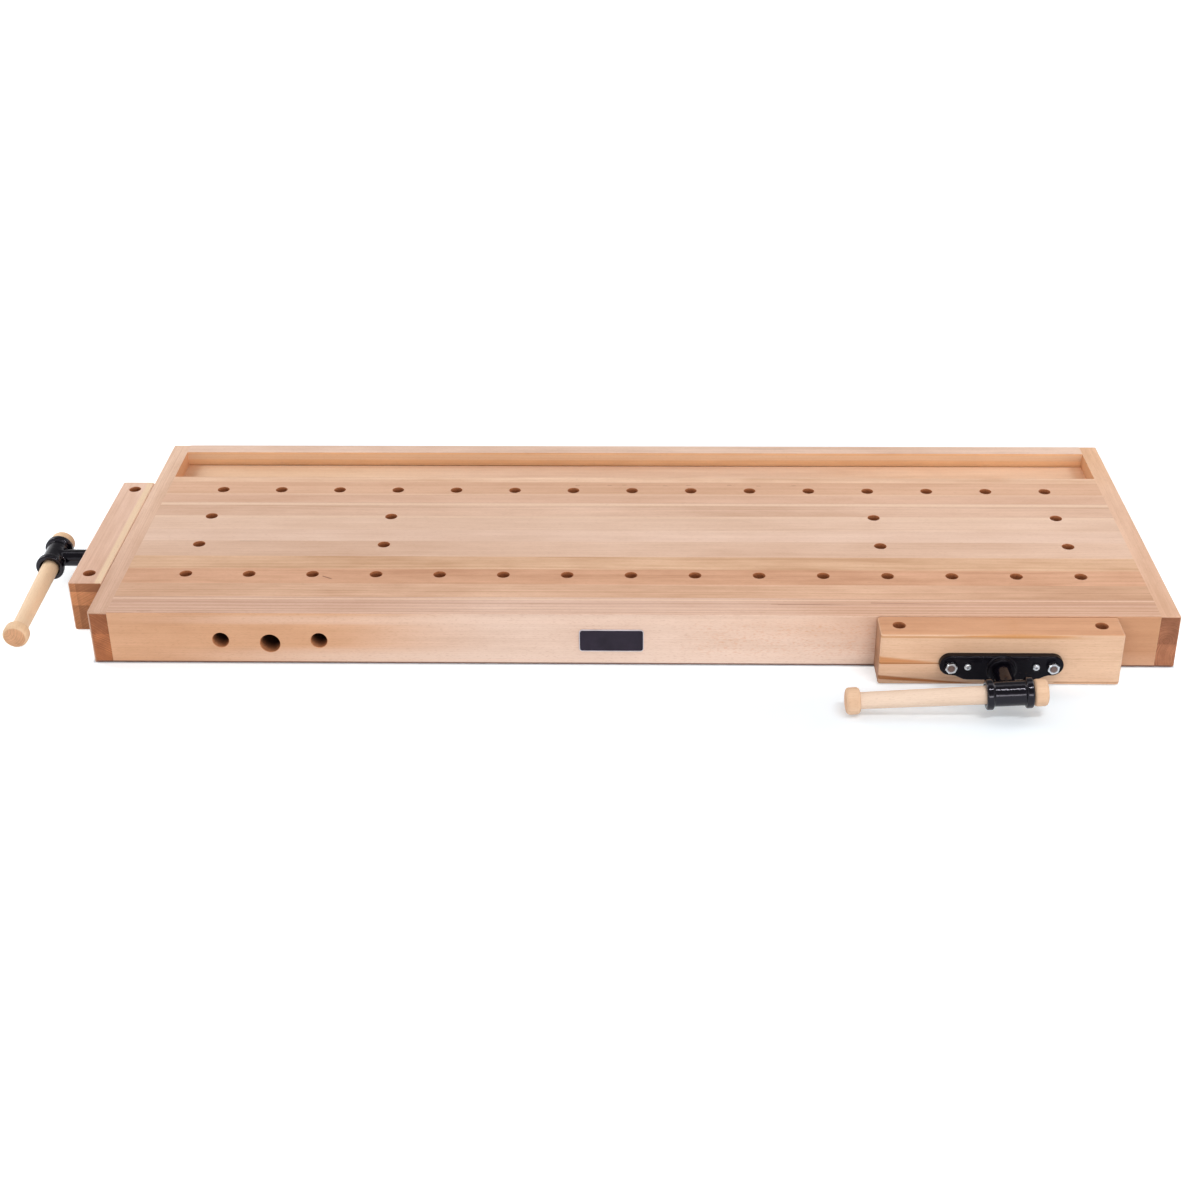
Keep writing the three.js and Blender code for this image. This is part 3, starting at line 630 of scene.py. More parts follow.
DARK_LINE, PALE_LINE = srgb(190, 142, 116), srgb(240, 206, 180)
DARK_GRAIN, KNOT_TONE, GREY_MARK = srgb(168, 120, 98), srgb(140, 88, 64), srgb(176, 146, 130)
apron_wood = wood(
    "apron_wood", srgb(221, 168, 130), 0, (-0.4, -0.9), 1.3, 0.85, rays=[(0.12, 0.62, 0.008, 0.084)], contact_shade=True,
    # The right end's drift is the board's darker tone together with painted shade from the front jaw
    drifts=[(srgb(230, 198, 178), -0.42, -0.1), (srgb(198, 145, 108), 0.36, 0.86)],
    sides=[(2, 1, srgb(218, 175, 151), (srgb(233, 197, 177), -0.36, -0.1), (srgb(213, 169, 144), 0.22, 0.44))],
    streaks=[
        # Painted light: a paler band along the bottom of the front for the light thrown up from the floor
        Streak(2, 0.0, 0.034, srgb(240, 212, 194), 0.65, 0.7, -0.72, sway=0.0),
        Streak(2, 0.0765, 0.0105, srgb(240, 208, 188), 0.4, 0.4, -0.75, sway=0.0),
        # Painted light and shade at the right end: paler along the bottom and darker along the top, for the front jaw's
        # shade
        Streak(2, 0.0, 0.03, srgb(212, 164, 132), 0.6, 0.95, 0.5, sway=0.0),
        Streak(2, 0.07, 0.03, srgb(208, 152, 110), 0.25, 1.2, 0.1, sway=0.0),
        Streak(1, BENCH_FRONT + 0.0343, 0.0013, DARK_GRAIN, 0.9, 0.289, 0.42, -0.003),
        Streak(1, BENCH_FRONT + 0.0322, 0.0011, DARK_GRAIN, 0.8, 0.3, 0.41, 0.004),
        Streak(1, BENCH_FRONT + 0.0386, 0.0013, DARK_GRAIN, 0.9, 0.441, 0.57, -0.003),
        Streak(1, BENCH_FRONT + 0.0053, 0.003, DARK_LINE, 0.6, -0.672, -0.645),
        Streak(1, BENCH_FRONT + 0.033, 0.007, srgb(206, 162, 140), 0.35),
        Streak(1, BENCH_FRONT + 0.034, 0.0012, DARK_LINE, 0.5, -0.1, FAR_RIGHT, 0.006),
        Streak(1, BENCH_FRONT + 0.037, 0.0012, DARK_LINE, 0.6, FAR_LEFT, 0.2, -0.005),
        Streak(1, BENCH_FRONT + 0.024, 0.001, DARK_LINE, 0.5, FAR_LEFT, FAR_RIGHT, 0.002),
        Streak(1, BENCH_FRONT + 0.046, 0.003, PALE_LINE, 0.6),
        *(Streak(1, BENCH_FRONT + place, 0.0011, PALE_LINE, 0.5, slope=0.001) for place in (0.004, 0.011, 0.019, 0.029)),
        *(Streak(1, BENCH_FRONT + place, 0.0008, DARK_LINE, 0.45, slope=-0.001) for place in (0.008, 0.015, 0.042, 0.05)),
    ],
)
apron = board("front_apron", apron_low, apron_high, APRON_EDGES)
thickness = (apron_high.y - apron_low.y) / MM
apron = holed("front_apron", apron, vise_holes(SCREW_HOLE, ROD_HOLE, 0, thickness), FRONT_PLACE)
apron = holed("front_apron", apron, vise_holes(SCREW_HOLE, ROD_HOLE, 0, thickness), SPARE_PLACE)
dress("front_apron", apron, [apron_wood, bore_wood], even=True)

LEFT_END, RIGHT_END = srgb(175, 105, 64), srgb(167, 107, 75)
cap_edges = {"ft": CAP_ARRIS, "bt": CAP_ARRIS, "fd": LOWER_ARRIS, "bd": LOWER_ARRIS}
# Painted light and shade: the cap grows lighter towards the rear, where more light falls, and its inner face over the
# tray takes a darker tone for the shade there
left_wood = wood(
    "left_cap_wood", srgb(220, 178, 152), 1, (left_low.x - 0.05, -0.1), 2.1, 1.1, LEFT_END, contact_shade=True,
    drifts=[(srgb(240, 203, 177), BENCH_FRONT + 0.08, BENCH_FRONT + 0.56)],
    layers=[(2, 0.05, -0.32)], sides=[(0, 1, srgb(219, 162, 120))],
)
left_cap = board("left_end_cap", left_low, left_high, {
    **cap_edges, "ft": LEFT_ARRIS, "lf": LEFT_ARRIS, "lt": CAP_ARRIS, "lb": CAP_ARRIS, "ld": CAP_EDGE_RADIUS,
})
thickness = (left_high.x - left_low.x) / MM
left_cap = holed("left_end_cap", left_cap, vise_holes(SCREW_HOLE, ROD_HOLE, 0, thickness), END_PLACE)
dress("left_end_cap", left_cap, [left_wood, hole_wood], even=True)

# Painted light and shade: the cap grows lighter towards the rear, where more light falls, and its inner face over the
# tray takes a darker tone for the shade there
right_wood = wood(
    "right_cap_wood", srgb(229, 186, 157), 1, (right_high.x + 0.02, 0.02), 3.7, 1.1, RIGHT_END, contact_shade=True,
    drifts=[(srgb(240, 193, 156), BENCH_FRONT + 0.36, BENCH_FRONT + 0.58)],
    layers=[(2, 0.04, -0.32)], sides=[(0, -1, srgb(219, 168, 126))],
)
right_cap = board("right_end_cap", right_low, right_high, {
    **cap_edges, "rt": CAP_ARRIS, "rf": CAP_ARRIS, "rb": CAP_ARRIS, "rd": CAP_EDGE_RADIUS,
})
dress("right_end_cap", right_cap, [right_wood], even=True)

STAVES = [
    ((220, 175, 144), 1.4), ((215, 163, 130), 1.4), ((224, 181, 147), 1.5), ((225, 187, 162), 0.75),
    ((232, 197, 175), 0.6), ((230, 194, 170), 0.75), ((223, 183, 157), 1.0), ((226, 183, 156), 0.75),
    ((224, 178, 147), 0.75), ((236, 194, 163), 1.4),
]
STAVE_DRIFTS = {0: [(srgb(203, 156, 124), 0.5, 0.78)]}
STAVE_STREAKS = {
    1: [(0.024, 0.0016, KNOT_TONE, 0.9, -0.406, -0.388, -0.01)],
    3: [(0.0505, 0.0012, GREY_MARK, 0.7, -0.559, -0.522)],
    5: [(0.046, 0.005, PALE_LINE, 0.5)],
    6: [(0.043, 0.006, PALE_LINE, 0.8)],
    8: [(0.002, 0.004, PALE_LINE, 0.5)] + [
        (0.038 + 0.0015 * (step % 3), 0.001, KNOT_TONE, 0.6, place, place + 0.009)
        for step, place in enumerate((-0.02, 0.035, 0.06, 0.13, 0.17, 0.24, 0.29, 0.35))
    ],
}
holes = list(dog_places())
for index, (tone, contrast) in enumerate(STAVES):
    node = f"top_stave_{index + 1}"
    low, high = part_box(node)
    reach = DOG_RADIUS * MM
    here = [(x, y) for x, y in holes if low.y - reach < BENCH_FRONT + y * MM < high.y + reach]
    mesh = board(node, low, high, {})
    if here:
        deep = [moved(drill(DOG_RADIUS, low.z / MM, high.z / MM, 2), in_frame(x, y)) for x, y in here]
        mesh = holed(node, mesh, deep)
    pith = (low.y + 0.11 * (index % 3) - 0.12, -0.25 - 0.21 * (index % 4))
    streaks = [Streak(1, low.y + offset, *rest) for offset, *rest in STAVE_STREAKS.get(index, ())]
    grain = wood(
        node + "_wood", srgb(*tone), 0, pith, 0.83 * index + 0.4, contrast,
        drifts=STAVE_DRIFTS.get(index, ()), streaks=streaks,
    )
    dress(node, mesh, [grain, hole_wood])

rail_low, rail_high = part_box("rear_rail")
rail_wood = wood(
    "rail_wood", srgb(234, 199, 177), 0, (rail_low.y - 0.5, -0.4), 5.9, contact_shade=True,
    # Painted shade: the front face, recessed over the tray, takes a darker tone for its shade
    sides=[(1, -1, srgb(227, 178, 133))],
    streaks=[
        # Painted light: a paler band along the upper part of the rail, where it rises out of the tray's shade
        Streak(2, rail_high.z - 0.0085, 0.0078, srgb(218, 190, 164), 0.5, sway=0.0),
        Streak(1, rail_low.y + 0.0187, 0.0014, GREY_MARK, 0.7, 0.286, 0.36),
    ],
)
rail = board("rear_rail", rail_low, rail_high, {"bt": ARRIS, "bd": ARRIS, "ft": SMALL_ARRIS})
dress("rear_rail", rail, [rail_wood], even=True)

tray_low, tray_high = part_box("tray_floor")
tray_wood = wood(
    "tray_wood", srgb(244, 205, 172), 0, (tray_low.y + 0.04, -0.5), 6.4, 0.8,
    drifts=[(srgb(233, 193, 165), -0.5, -0.1), (srgb(246, 204, 172), 0.3, 0.6)],
    streaks=[
        # Painted shade: a dark line in the joint between the tray floor and the rail
        Streak(1, tray_high.y, 0.0026, srgb(120, 68, 40), 0.9, sway=0.05),
        # Painted shadow: darker ends of the tray floor beside the caps
        Streak(0, left_high.x, 0.03, srgb(206, 152, 112), 0.6, sway=0.0),
        Streak(0, right_low.x, 0.03, srgb(206, 152, 112), 0.6, sway=0.0),
    ],
)
dress("tray_floor", board("tray_floor", tray_low, tray_high, {}), [tray_wood])


def rounded_rectangle(half_x, half_z, radius, y):
    """Outline points in X and Z at the given y."""
    points = []
    for quarter, (sign_x, sign_z) in enumerate([(1, 1), (-1, 1), (-1, -1), (1, -1)]):
        middle = (sign_x * (half_x - radius), sign_z * (half_z - radius))
        points += [(x, y, z) for x, z in arc(*middle, radius, 90 * quarter, 90 * quarter + 90)]
    return points


plate_low, plate_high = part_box("name_plate")
half_x, half_z = (plate_high.x - plate_low.x) / 2 / MM, (plate_high.z - plate_low.z) / 2 / MM
back, front = plate_high.y / MM, plate_low.y / MM
PLATE_CORNER, PLATE_RIM, PLATE_FIELD, PLATE_SOFT = 5, 1.1, 0.6, 0.4
levels = [(0, back), (0, front + PLATE_SOFT), (0.15, front + 0.15), (PLATE_SOFT, front)]
levels += [(PLATE_RIM - 0.3, front), (PLATE_RIM, front + PLATE_FIELD)]
plate = rings([rounded_rectangle(half_x - inset, half_z - inset, PLATE_CORNER - inset, y) for inset, y in levels])
plate_x, plate_z = (plate_low.x + plate_high.x) / 2 / MM, (plate_low.z + plate_high.z) / 2 / MM
plate = mesh_of("name_plate", moved(plate, (plate_x, 0, plate_z)))


def on_plate_rim(middle, normal):
    beside = abs(middle.x / MM - plate_x) > half_x - 2 * PLATE_RIM
    return beside or abs(middle.z / MM - plate_z) > half_z - 2 * PLATE_RIM


dress("name_plate", painted(plate, 1, on_plate_rim), [plate_black, plate_rim], even=True)


# Vise pieces

def bezier(first, second, third, fourth, steps):
    """Points on a curve after its first point."""
    points = []
    for i in range(1, steps + 1):
        t = i / steps
        weights = ((1 - t) ** 3, 3 * t * (1 - t) ** 2, 3 * t * t * (1 - t), t ** 3)
        points.append(tuple(
            sum(weight * point[axis] for weight, point in zip(weights, (first, second, third, fourth)))
            for axis in range(2)
        ))
    return points


def cast_outline(inset, y):
    """Outline of the faceplate: half-round ends about the rods, a straight top and a belly below the screw."""
    radius, drop = PLATE_END_RADIUS - inset, BELLY_DROP - inset
    bend = (ROD_X - BELLY_HALF) / 2
    flat = arc(ROD_X, 0, radius, 90, -90, 16)
    flat += bezier(
        (ROD_X, -radius), (ROD_X - bend, -radius), (BELLY_HALF + bend, -drop), (BELLY_HALF, -drop), 10,
    )
    flat += [(-x, z) for x, z in reversed(flat)]
    return [(x, y, z + ROD_HEIGHT) for x, z in flat]


def faceplate_shape():
    edge = [(PLATE_EDGE - r, PLATE_FRONT + PLATE_EDGE - a) for r, a in arc(0, 0, PLATE_EDGE, 0, 90)]
    plate = rings([cast_outline(inset, y) for inset, y in [(0, PLATE_BACK)] + edge])
    boss = turned(
        [(r, a) for r, a in arc(BOSS_RADIUS + BOSS_FILLET, PLATE_FRONT - BOSS_FILLET, BOSS_FILLET, 90, 180)]
        + arc(BOSS_RADIUS - BOSS_EDGE, BOSS_FRONT + BOSS_EDGE, BOSS_EDGE, 0, -90)
        + [(SCREW_RADIUS + 1, BOSS_FRONT), (SCREW_RADIUS + SEAT_GAP, BOSS_FRONT + 0.7)]
        + [(SCREW_RADIUS + SEAT_GAP, PLATE_FRONT + 2)]
    )
    return joined(plate, moved(boss, (0, 0, SCREW_HEIGHT)))


def barrel_profile():
    """Tee barrel with a rounded rim at each end, bored for the handle."""
    lip = 1.4
    step = TEE_HALF - TEE_RIM_WIDTH
    half = [
        *arc(TEE_BORE + lip, TEE_HALF - lip, lip, 180, 90),
        *arc(TEE_RIM - TEE_ROUND, TEE_HALF - TEE_ROUND, TEE_ROUND, 90, 0),
        *arc(TEE_RIM - TEE_ROUND, step + TEE_ROUND, TEE_ROUND, 0, -70),
        *arc(TEE_BARREL + 2.2, step - 2.2, 2.2, 110, 180),
    ]
    return half + [(radius, -along) for radius, along in reversed(half)]


def stem_shape():
    """Stem that flows out of the barrel's side and runs to the screw's boss."""
    levels = [(STEM_FILLET - r, STEM_FILLET - a) for r, a in arc(0, 0, STEM_FILLET, 90, 0)]
    outlines = []
    for flare, lift in [(STEM_FILLET, -1.0)] + levels:
        outline = []
        for i in range(ROUND):
            angle = 2 * math.pi * i / ROUND
            reach = TEE_STEM + flare
            x, z = reach * math.cos(angle), reach * math.sin(angle)
            y = TEE_Y + math.sqrt(max(TEE_BARREL ** 2 - z * z, 0)) + lift
            outline.append((x, y, z))
        outlines.append(outline)
    for reach, y in ((TEE_STEM, TEE_Y + 27), (TEE_STEM, STEM_FACE - 1), (TEE_STEM - 1, STEM_FACE)):
        steps = [2 * math.pi * i / ROUND for i in range(ROUND)]
        outlines.append([(reach * math.cos(a), y, reach * math.sin(a)) for a in steps])
    return rings(outlines, cap_first=False)


def tee_shape():
    return joined(moved(turned(barrel_profile(), ROUND, 0, closed=True), (0, TEE_Y, 0)), stem_shape())


def knob_profile(inner):
    outer = inner + KNOB_LENGTH
    inside = arc(KNOB_RADIUS - KNOB_ROUND, inner + KNOB_ROUND, KNOB_ROUND, -90, 0, 8)
    shoulder = arc(KNOB_RADIUS - KNOB_ROUND, outer - KNOB_DOME - KNOB_ROUND, KNOB_ROUND, 0, 78, 8)
    edge = shoulder[-1][0]
    crown = [(edge * (1 - t), outer - (outer - shoulder[-1][1]) * (1 - t) ** 2) for t in (0.3, 0.6, 0.85, 1.0)]
    return inside + shoulder + crown


def bar_shape():
    start, end = -TEE_HALF, -TEE_HALF + HANDLE_LENGTH
    profile = [(0, start - 4), (HANDLE_THICK - 6, start - 4), (HANDLE_THICK - 6, start)]
    profile += [(HANDLE_THICK - 0.6, start), (HANDLE_THICK, start + 0.6)]
    profile += [(HANDLE_THICK + (HANDLE_THIN - HANDLE_THICK) * t, start + HANDLE_LENGTH * t) for t in (0.33, 0.66)]
    profile += [(HANDLE_THIN, end - 1.5), (HANDLE_THIN + 0.5, end - 0.4), (HANDLE_THIN + 1.2, end)]
    return moved(turned(profile + knob_profile(end), ROUND, 0), (0, TEE_Y, 0))


def on_knob(middle, normal):
    return middle.x > (HANDLE_LENGTH - TEE_HALF) * MM


def loose_knob_shape():
    start = TEE_HALF + SEAT_GAP
    points, faces = turned([(0, start), *knob_profile(start)], ROUND, 0)
    return [(-x, y + TEE_Y, z) for x, y, z in points], faces


def chamfered_bar(radius, start, end, chamfer):
    return turned([
        (0, start), (radius - chamfer, start), (radius, start + chamfer),
        (radius, end - chamfer), (radius - chamfer, end), (0, end),
    ], 48)


def rod_shape():
    """Guide rod with a stud at each end."""
    reach = 2 * SEAT_GAP + NUT_HEIGHT + 0.8
    return joined(
        chamfered_bar(ROD_RADIUS, PLATE_BACK + SEAT_GAP, YOKE_FRONT - SEAT_GAP, 0.8),
        chamfered_bar(STUD_RADIUS, PLATE_FRONT - reach, PLATE_BACK + 1, 0.9),
        chamfered_bar(STUD_RADIUS, YOKE_FRONT - 1, YOKE_BACK + reach, 0.9),
    )


def on_stud_end(middle, normal):
    return abs(normal.y) > 0.5 and math.hypot(middle.x, middle.z) < STUD_RADIUS * MM


def nut_mesh(name, start, flats=NUT_FLATS, height=NUT_HEIGHT, hole=STUD_RADIUS + 0.25):
    """Hexagon nut with turned corners and a chamfered hole."""
    corner = flats / math.sqrt(3)
    hexagon = [
        [(corner * math.cos(math.pi * i / 3), y, corner * math.sin(math.pi * i / 3)) for i in range(6)]
        for y in (start, start + height)
    ]
    face, end = flats / 2 * 0.98, start + height
    drop = (corner - face) * math.tan(math.radians(30))
    round_off = turned([
        (0, start), (face, start), (corner, start + drop), (corner, end - drop), (face, end), (0, end),
    ], 48)
    mesh = combined(name, mesh_of(name, rings(hexagon)), mesh_of(name, round_off), "INTERSECT")
    rim = 0.8
    hollow = turned([
        (0, start - 1), (hole + rim, start - 1), (hole + rim, start), (hole, start + rim),
        (hole, end - rim), (hole + rim, end), (hole + rim, end + 1), (0, end + 1),
    ], SMALL_ROUND)
    return combined(name, mesh, mesh_of(name, hollow), "DIFFERENCE")


def plate_screw_mesh(name):
    """Pan head with a cross recess."""
    under, head = PLATE_FRONT - SEAT_GAP, PLATE_SCREW_HEAD
    top = under - PLATE_SCREW_HEIGHT
    crown = PLATE_SCREW_HEIGHT / 2
    profile = [(0, top - 0.15), (head - crown - 1, top - 0.05), *arc(head - crown, top + crown, crown, -90, 0)]
    profile += [(head, under - 0.3), (head - 0.3, under), (3, under), (3, PLATE_BACK + 24), (0, PLATE_BACK + 28)]
    mesh = mesh_of(name, turned(profile, SMALL_ROUND))
    for turn in (0, 1):
        wide, thin, deep = 2.9, 0.65, top + 2.2
        slot = rings([
            [(-x, y, -z), (x, y, -z), (x, y, z), (-x, y, z)]
            for x, z, y in ((wide, thin, top - 1), (wide * 0.35, thin * 0.6, deep))
        ])
        tool = mesh_of(name, slot)
        tool.transform(Matrix.Rotation(math.radians(20 + 90 * turn), 4, "Y"))
        mesh = combined(name, mesh, tool, "DIFFERENCE")
    return mesh


def thread_shape(radius, depth, pitch, start, end, steps=24):
    """Screw thread of trapezoid section between two places on the axis."""
    turns = int((end - start) / pitch)
    section = [(radius - depth, 0.0), (radius, 0.3 * pitch), (radius, 0.62 * pitch), (radius - depth, 0.92 * pitch)]
    count, rows = len(section), turns * steps
    points, faces = [], []
    for row in range(rows + 1):
        angle = 2 * math.pi * row / steps
        for reach, along in section:
            y = start + pitch * row / steps + along
            points.append((reach * math.cos(angle), min(y, end), -reach * math.sin(angle)))
    for row in range(rows):
        for i in range(count - 1):
            near = row * count + i
            faces.append([near, near + 1, near + 1 + count, near + count])
        over = (row + steps) * count
        if row + steps < rows:
            near = row * count + count - 1
            faces.append([near, over, over + count, near + count])
    return points, faces


def screw_shape():
    core = SCREW_RADIUS - THREAD_DEPTH
    start, end = PLATE_BACK + 12, YOKE_FRONT - SEAT_GAP
    profile = [(0, STEM_FACE - 30), (JOURNAL_RADIUS, STEM_FACE - 30), (JOURNAL_RADIUS, BOSS_FRONT)]
    profile += [(SCREW_RADIUS, BOSS_FRONT), (SCREW_RADIUS, start - 1.5), (core, start)]
    profile += [(core, end), (JOURNAL_RADIUS, end), (JOURNAL_RADIUS, YOKE_BACK), (JOURNAL_RADIUS - 0.8, YOKE_BACK + 0.8)]
    profile += [(0, YOKE_BACK + 0.8)]
    thread = thread_shape(SCREW_RADIUS, THREAD_DEPTH, THREAD_PITCH, start, end)
    return joined(turned(profile, 48), thread)


def softened(node, materials, radius=0.5):
    """The node's own shape with its edges eased."""
    mesh = frame["nodes"][node].data.copy()
    work = bmesh.new()
    work.from_mesh(mesh)
    bmesh.ops.remove_doubles(work, verts=work.verts, dist=1e-6)
    bmesh.ops.dissolve_limit(work, angle_limit=math.radians(1), verts=work.verts, edges=work.edges)
    work.to_mesh(mesh)
    work.free()
    piece = dress(node, mesh, materials, angle=35, even=True)
    ease = piece.modifiers.new("ease", "BEVEL")
    ease.width, ease.segments, ease.limit_method, ease.angle_limit = radius * MM, 2, "ANGLE", math.radians(40)
    piece.modifiers.move(1, 0)
    return piece


def vise(name, place, turn, jaw_wood, handle_wood, knob_wood):
    """One vise; turn is the angle of the tee about the screw, with the handle's long end along the tee's +X."""
    low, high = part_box(name + "_jaw")
    half = max(high.x - low.x, high.y - low.y) / 2
    all_edges = {code: JAW_ARRIS for code in ("ft", "fd", "bt", "bd", "lt", "ld", "rt", "rd", "lf", "lb", "rf", "rb")}
    jaw = board(name + "_jaw", Vector((-half, JAW_FRONT * MM, low.z)), Vector((half, JAW_BACK * MM, high.z)), all_edges)
    middle = (JAW_FRONT + JAW_BACK) / 2
    dogs = [drill(DOG_RADIUS, low.z / MM, high.z / MM, 2) for _ in range(2)]
    shift = VISE_DOG_STEPS * DOG_PITCH / 2
    shapes = [moved(dogs[0], (-shift, middle, 0)), moved(dogs[1], (shift, middle, 0))]
    shapes += vise_holes(SCREW_HOLE, ROD_RADIUS + SEAT_GAP, JAW_FRONT, JAW_BACK)
    dress(name + "_jaw", holed(name + "_jaw", jaw, shapes), [jaw_wood, hole_wood], place, even=True)

    faceplate = mesh_of(name + "_faceplate", faceplate_shape())
    dress(name + "_faceplate", faceplate, [black_casting], place, even=True)
    for label, side in (("left", -1), ("right", 1)):
        on_rod = place @ Matrix.Translation((side * ROD_X * MM, 0, ROD_HEIGHT * MM))
        on_screw = place @ Matrix.Translation((side * PLATE_SCREW_X * MM, 0, ROD_HEIGHT * MM))
        nut_turn = Matrix.Rotation(math.radians(14 + 25 * side), 4, "Y")
        rod = f"{name}_guide_rod_{label}"
        mesh = painted(mesh_of(rod, rod_shape()), 1, on_stud_end)
        dress(rod, mesh, [drawn_steel, stud_steel], on_rod)
        for node, start in ((f"{name}_rod_nut_{label}", PLATE_FRONT - SEAT_GAP - NUT_HEIGHT),
                            (f"{name}_yoke_nut_{label}", YOKE_BACK + SEAT_GAP)):
            dress(node, nut_mesh(node, start), [zinc], on_rod @ nut_turn, 20)
        node = f"{name}_plate_screw_{label}"
        dress(node, plate_screw_mesh(node), [zinc], on_screw)
        softened(f"{name}_lag_screw_{label}", [zinc])
    softened(name + "_rear_yoke", [drawn_steel], 0.8)
    softened(name + "_nut_housing", [black_casting], 1.2)

    turning = place @ Matrix.Translation((0, 0, SCREW_HEIGHT * MM)) @ Matrix.Rotation(turn, 4, "Y")
    dress(name + "_tee_head", mesh_of(name + "_tee_head", tee_shape()), [tee_casting], turning, even=True)
    dress(name + "_screw", mesh_of(name + "_screw", screw_shape()), [oiled_steel], turning)
    softened(name + "_tee_pin", [dark_steel], 0.3)
    softened(name + "_screw_collar", [oiled_steel])
    drop = -math.copysign(HANDLE_DROP, math.cos(turn))
    held = turning @ Matrix.Translation((0, 0, drop * MM))
    bar = painted(mesh_of(name + "_handle_bar", bar_shape()), 1, on_knob)
    dress(name + "_handle_bar", bar, [handle_wood, knob_wood], held)
    dress(name + "_handle_knob", mesh_of(name + "_handle_knob", loose_knob_shape()), [knob_wood], held)


HEART = srgb(172, 108, 62)
HONEY = srgb(206, 140, 76)
front_jaw_wood = wood(
    "front_jaw_wood", srgb(223, 182, 150), 0, (0.5, -0.6), 8.2, 1.0,
    sides=[(2, 1, srgb(212, 156, 118))],
    streaks=[
        Streak(2, 0.044, 0.0085, srgb(205, 140, 88), 0.85, -0.182, -0.07, -0.006, 0.85),
        Streak(2, 0.038, 0.0022, HEART, 0.9, -0.182, -0.06, 0.0, 0.5),
        Streak(2, 0.014, 0.005, HEART, 0.95, -0.182, 0.0, -0.014, 0.6),
        Streak(2, 0.006, 0.0016, HEART, 0.6, 0.08, 0.3, -0.001),
        Streak(2, 0.0835, 0.0025, srgb(200, 142, 92), 0.7, -0.19, 0.16, -0.002),
        Streak(2, 0.0845, 0.0035, HONEY, 0.8, 0.019, 0.125, 0.0, 0.6),
        Streak(2, 0.0845, 0.0035, HONEY, 0.8, 0.021, -0.075, 0.0, 0.6),
    ],
)
end_jaw_wood = wood(
    "end_jaw_wood", srgb(243, 206, 184), 0, (0.35, -0.5), 9.6, 1.0, srgb(192, 128, 85),
    layers=[(2, 0.021, -0.08), (2, 0.0465, 0.55), (2, 0.071, -0.75), (1, -0.043, -0.35)],
    # Painted light: the jaw is lighter towards the rear and darker towards its front end
    drifts=[(srgb(235, 194, 170), -0.1, 0.17)],
    streaks=[Streak(1, -0.007, 0.0072, srgb(242, 210, 176), 1.0)],
)
FRONT_PITH = (TEE_Y * MM + 0.02, 0.01)
END_PITH = (TEE_Y * MM - 0.015, 0.012)
front_handle_wood = wood("front_handle_wood", srgb(230, 202, 179), 0, FRONT_PITH, 10.3, 0.6)
front_knob_wood = wood("front_knob_wood", srgb(227, 188, 155), 0, FRONT_PITH, 12.6, 0.8, srgb(216, 167, 130))
end_handle_wood = wood("end_handle_wood", srgb(254, 220, 183), 0, END_PITH, 11.9, 0.6)
end_knob_wood = wood("end_knob_wood", srgb(243, 204, 164), 0, END_PITH, 13.4, 0.8, srgb(220, 165, 124))
vise("front", FRONT_PLACE, math.pi - HANDLE_TILT, front_jaw_wood, front_handle_wood, front_knob_wood)
vise("end", END_PLACE, HANDLE_TILT, end_jaw_wood, end_handle_wood, end_knob_wood)


# Floor, light and camera

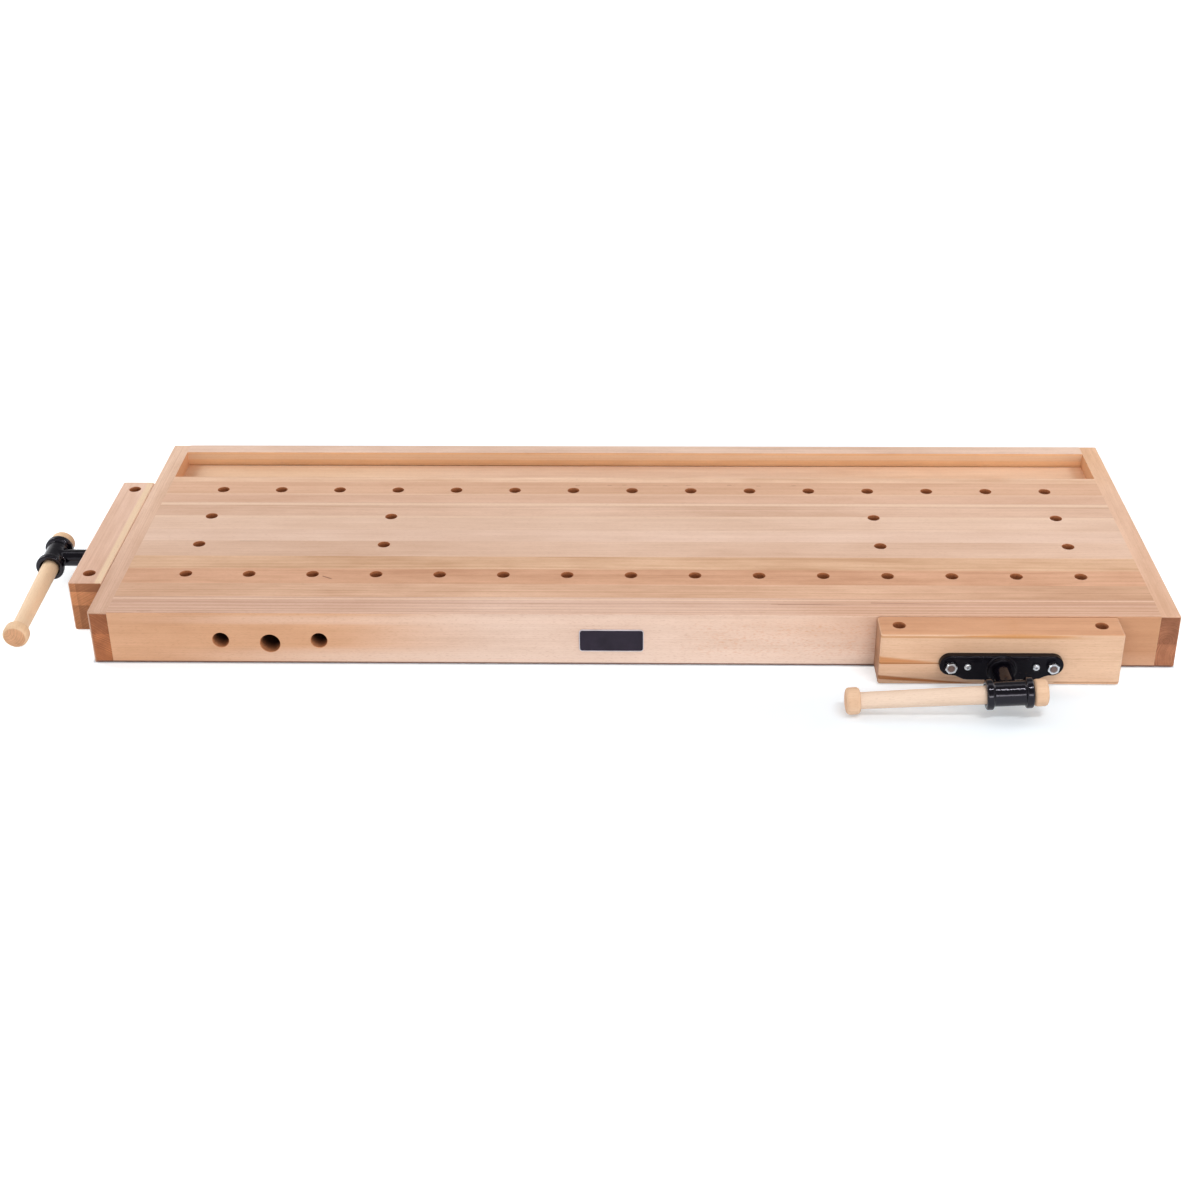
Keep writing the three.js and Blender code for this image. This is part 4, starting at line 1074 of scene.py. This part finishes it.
def floor():
    """White floor that glows to a clean white around the bench, but not under it, and keeps the soft shadows."""
    made, graph = material("floor")
    place = graph.nodes.new("ShaderNodeTexCoord").outputs["Object"]
    x, y, _ = graph.add("SeparateXYZ", {0: place}).node.outputs
    half_x, half_y = (right_high.x - left_low.x) / 2, (left_high.y - left_low.y) / 2
    middle_y = (left_high.y + left_low.y) / 2
    out_x = graph.sum(graph.math("ABSOLUTE", graph.sum(x, -BENCH_MIDDLE)), -half_x)
    out_y = graph.sum(graph.math("ABSOLUTE", graph.sum(y, -middle_y)), -half_y)
    outside = graph.math("MAXIMUM", out_x, out_y)
    # Painted light and shade in the glow: none within a few mm of the bench (painted contact shade), less in front of
    # the bench's right half so the vise's shadow shows, and more close beside the bench, far away and to its left,
    # where it washes shadows out
    beside = graph.ramp(outside, 0.0, 0.004)
    near = graph.ramp(outside, 0.09, 0.03)
    before = graph.ramp(y, BENCH_FRONT - 0.02, BENCH_FRONT - 0.12)
    before = graph.times(before, graph.ramp(x, BENCH_MIDDLE - 0.1, BENCH_MIDDLE + 0.2))
    away = graph.ramp(outside, 0.3, 2.5)
    aside = graph.ramp(x, left_low.x + 0.02, left_low.x - 0.05)
    path = graph.nodes.new("ShaderNodeLightPath").outputs
    seen = graph.math("MAXIMUM", path["Is Camera Ray"], path["Is Glossy Ray"])
    seen = graph.math("MAXIMUM", seen, path["Is Transmission Ray"])
    rising = graph.sum(graph.times(near, 0.1), graph.times(away, 0.5), graph.times(aside, 0.3))
    glow = graph.times(beside, graph.sum(0.42, rising, graph.times(before, -0.17)))
    glow = graph.times(glow, seen)
    matte = graph.add("BsdfDiffuse", {"Color": srgb(225, 232, 238)})
    lit = graph.add("Emission", {"Color": (1.0, 1.0, 1.0, 1.0), "Strength": glow})
    graph.add("OutputMaterial", {"Surface": graph.add("AddShader", {0: matte, 1: lit})})
    half = 30.0
    level = -0.0002
    mesh = bpy.data.meshes.new("floor")
    corners = [(-half, -half, level), (half, -half, level), (half, half, level), (-half, half, level)]
    mesh.from_pydata(corners, [], [[0, 1, 2, 3]])
    mesh.materials.append(made)
    linked("floor", mesh)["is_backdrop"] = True


def sky():
    """White studio walls all round under a dimmer ceiling."""
    world = bpy.data.worlds.new("studio")
    bpy.context.scene.world = world
    world.use_nodes = True
    graph = Graph(world.node_tree)
    way = graph.nodes.new("ShaderNodeTexCoord").outputs["Generated"]
    height = graph.add("SeparateXYZ", {0: way}).node.outputs[2]
    ceiling = graph.ramp(height, 0.25, 0.6)
    strength = graph.sum(1.0, graph.times(ceiling, -0.72))
    walls = graph.add("Background", {"Color": (1.0, 1.0, 1.0, 1.0), "Strength": strength})
    graph.add("OutputWorld", {"Surface": walls})


def lamp(name, place, target, size, power, size_y=None):
    data = bpy.data.lights.new(name, "AREA")
    data.shape = "RECTANGLE" if size_y else "DISK"
    data.size, data.energy = size, power
    if size_y:
        data.size_y = size_y
    made = bpy.data.objects.new(name, data)
    bpy.context.scene.collection.objects.link(made)
    made.location = place
    made.rotation_euler = (Vector(target) - Vector(place)).to_track_quat("-Z", "Y").to_euler()


floor()
sky()
lamp("overhead", (0.0, 0.5, 2.3), (0.0, 0.2, 0.0), 4.4, 13.0, 0.8)
lamp("left", (-2.3, 0.9, 1.3), (-0.2, 0.1, 0.05), 1.0, 19)
lamp("right", (2.5, 0.9, 1.3), (0.1, 0.1, 0.05), 1.0, 11)
lamp("front", (0.4, -3.0, 0.7), (0.2, -0.2, 0.05), 2.8, 25.5, 0.5)
lamp("strip", (1.0, -1.05, 1.9), (0.7, -0.35, 0.05), 1.0, 14, 0.05)

# The camera stands in front of the bench and looks down on it; focal length in pixels of the 1200 pixel picture.
PICTURE = 1200
FOCAL = 1841.22
SENSOR = 36.0
YAW, PITCH, ROLL = math.radians(-1.4178), math.radians(29.5047), math.radians(-0.47304)
STAND = Vector((BENCH_MIDDLE + 0.013642, BENCH_FRONT - 2.402248, 1.473048))

ahead = Vector((math.sin(YAW) * math.cos(PITCH), math.cos(YAW) * math.cos(PITCH), -math.sin(PITCH)))
level_right = Vector((math.cos(YAW), -math.sin(YAW), 0))
level_up = level_right.cross(ahead)
camera_right = math.cos(ROLL) * level_right + math.sin(ROLL) * level_up
camera_up = math.cos(ROLL) * level_up - math.sin(ROLL) * level_right
lens = bpy.data.cameras.new("camera")
lens.sensor_width, lens.sensor_fit = SENSOR, "HORIZONTAL"
lens.lens = FOCAL / PICTURE * SENSOR
camera = bpy.data.objects.new("camera", lens)
bpy.context.scene.collection.objects.link(camera)
turned_to = Matrix((camera_right, camera_up, -ahead)).transposed().to_4x4()
camera.matrix_world = Matrix.Translation(STAND) @ turned_to
bpy.context.scene.camera = camera
bpy.context.scene.view_settings.view_transform = "Standard"

low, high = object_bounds()
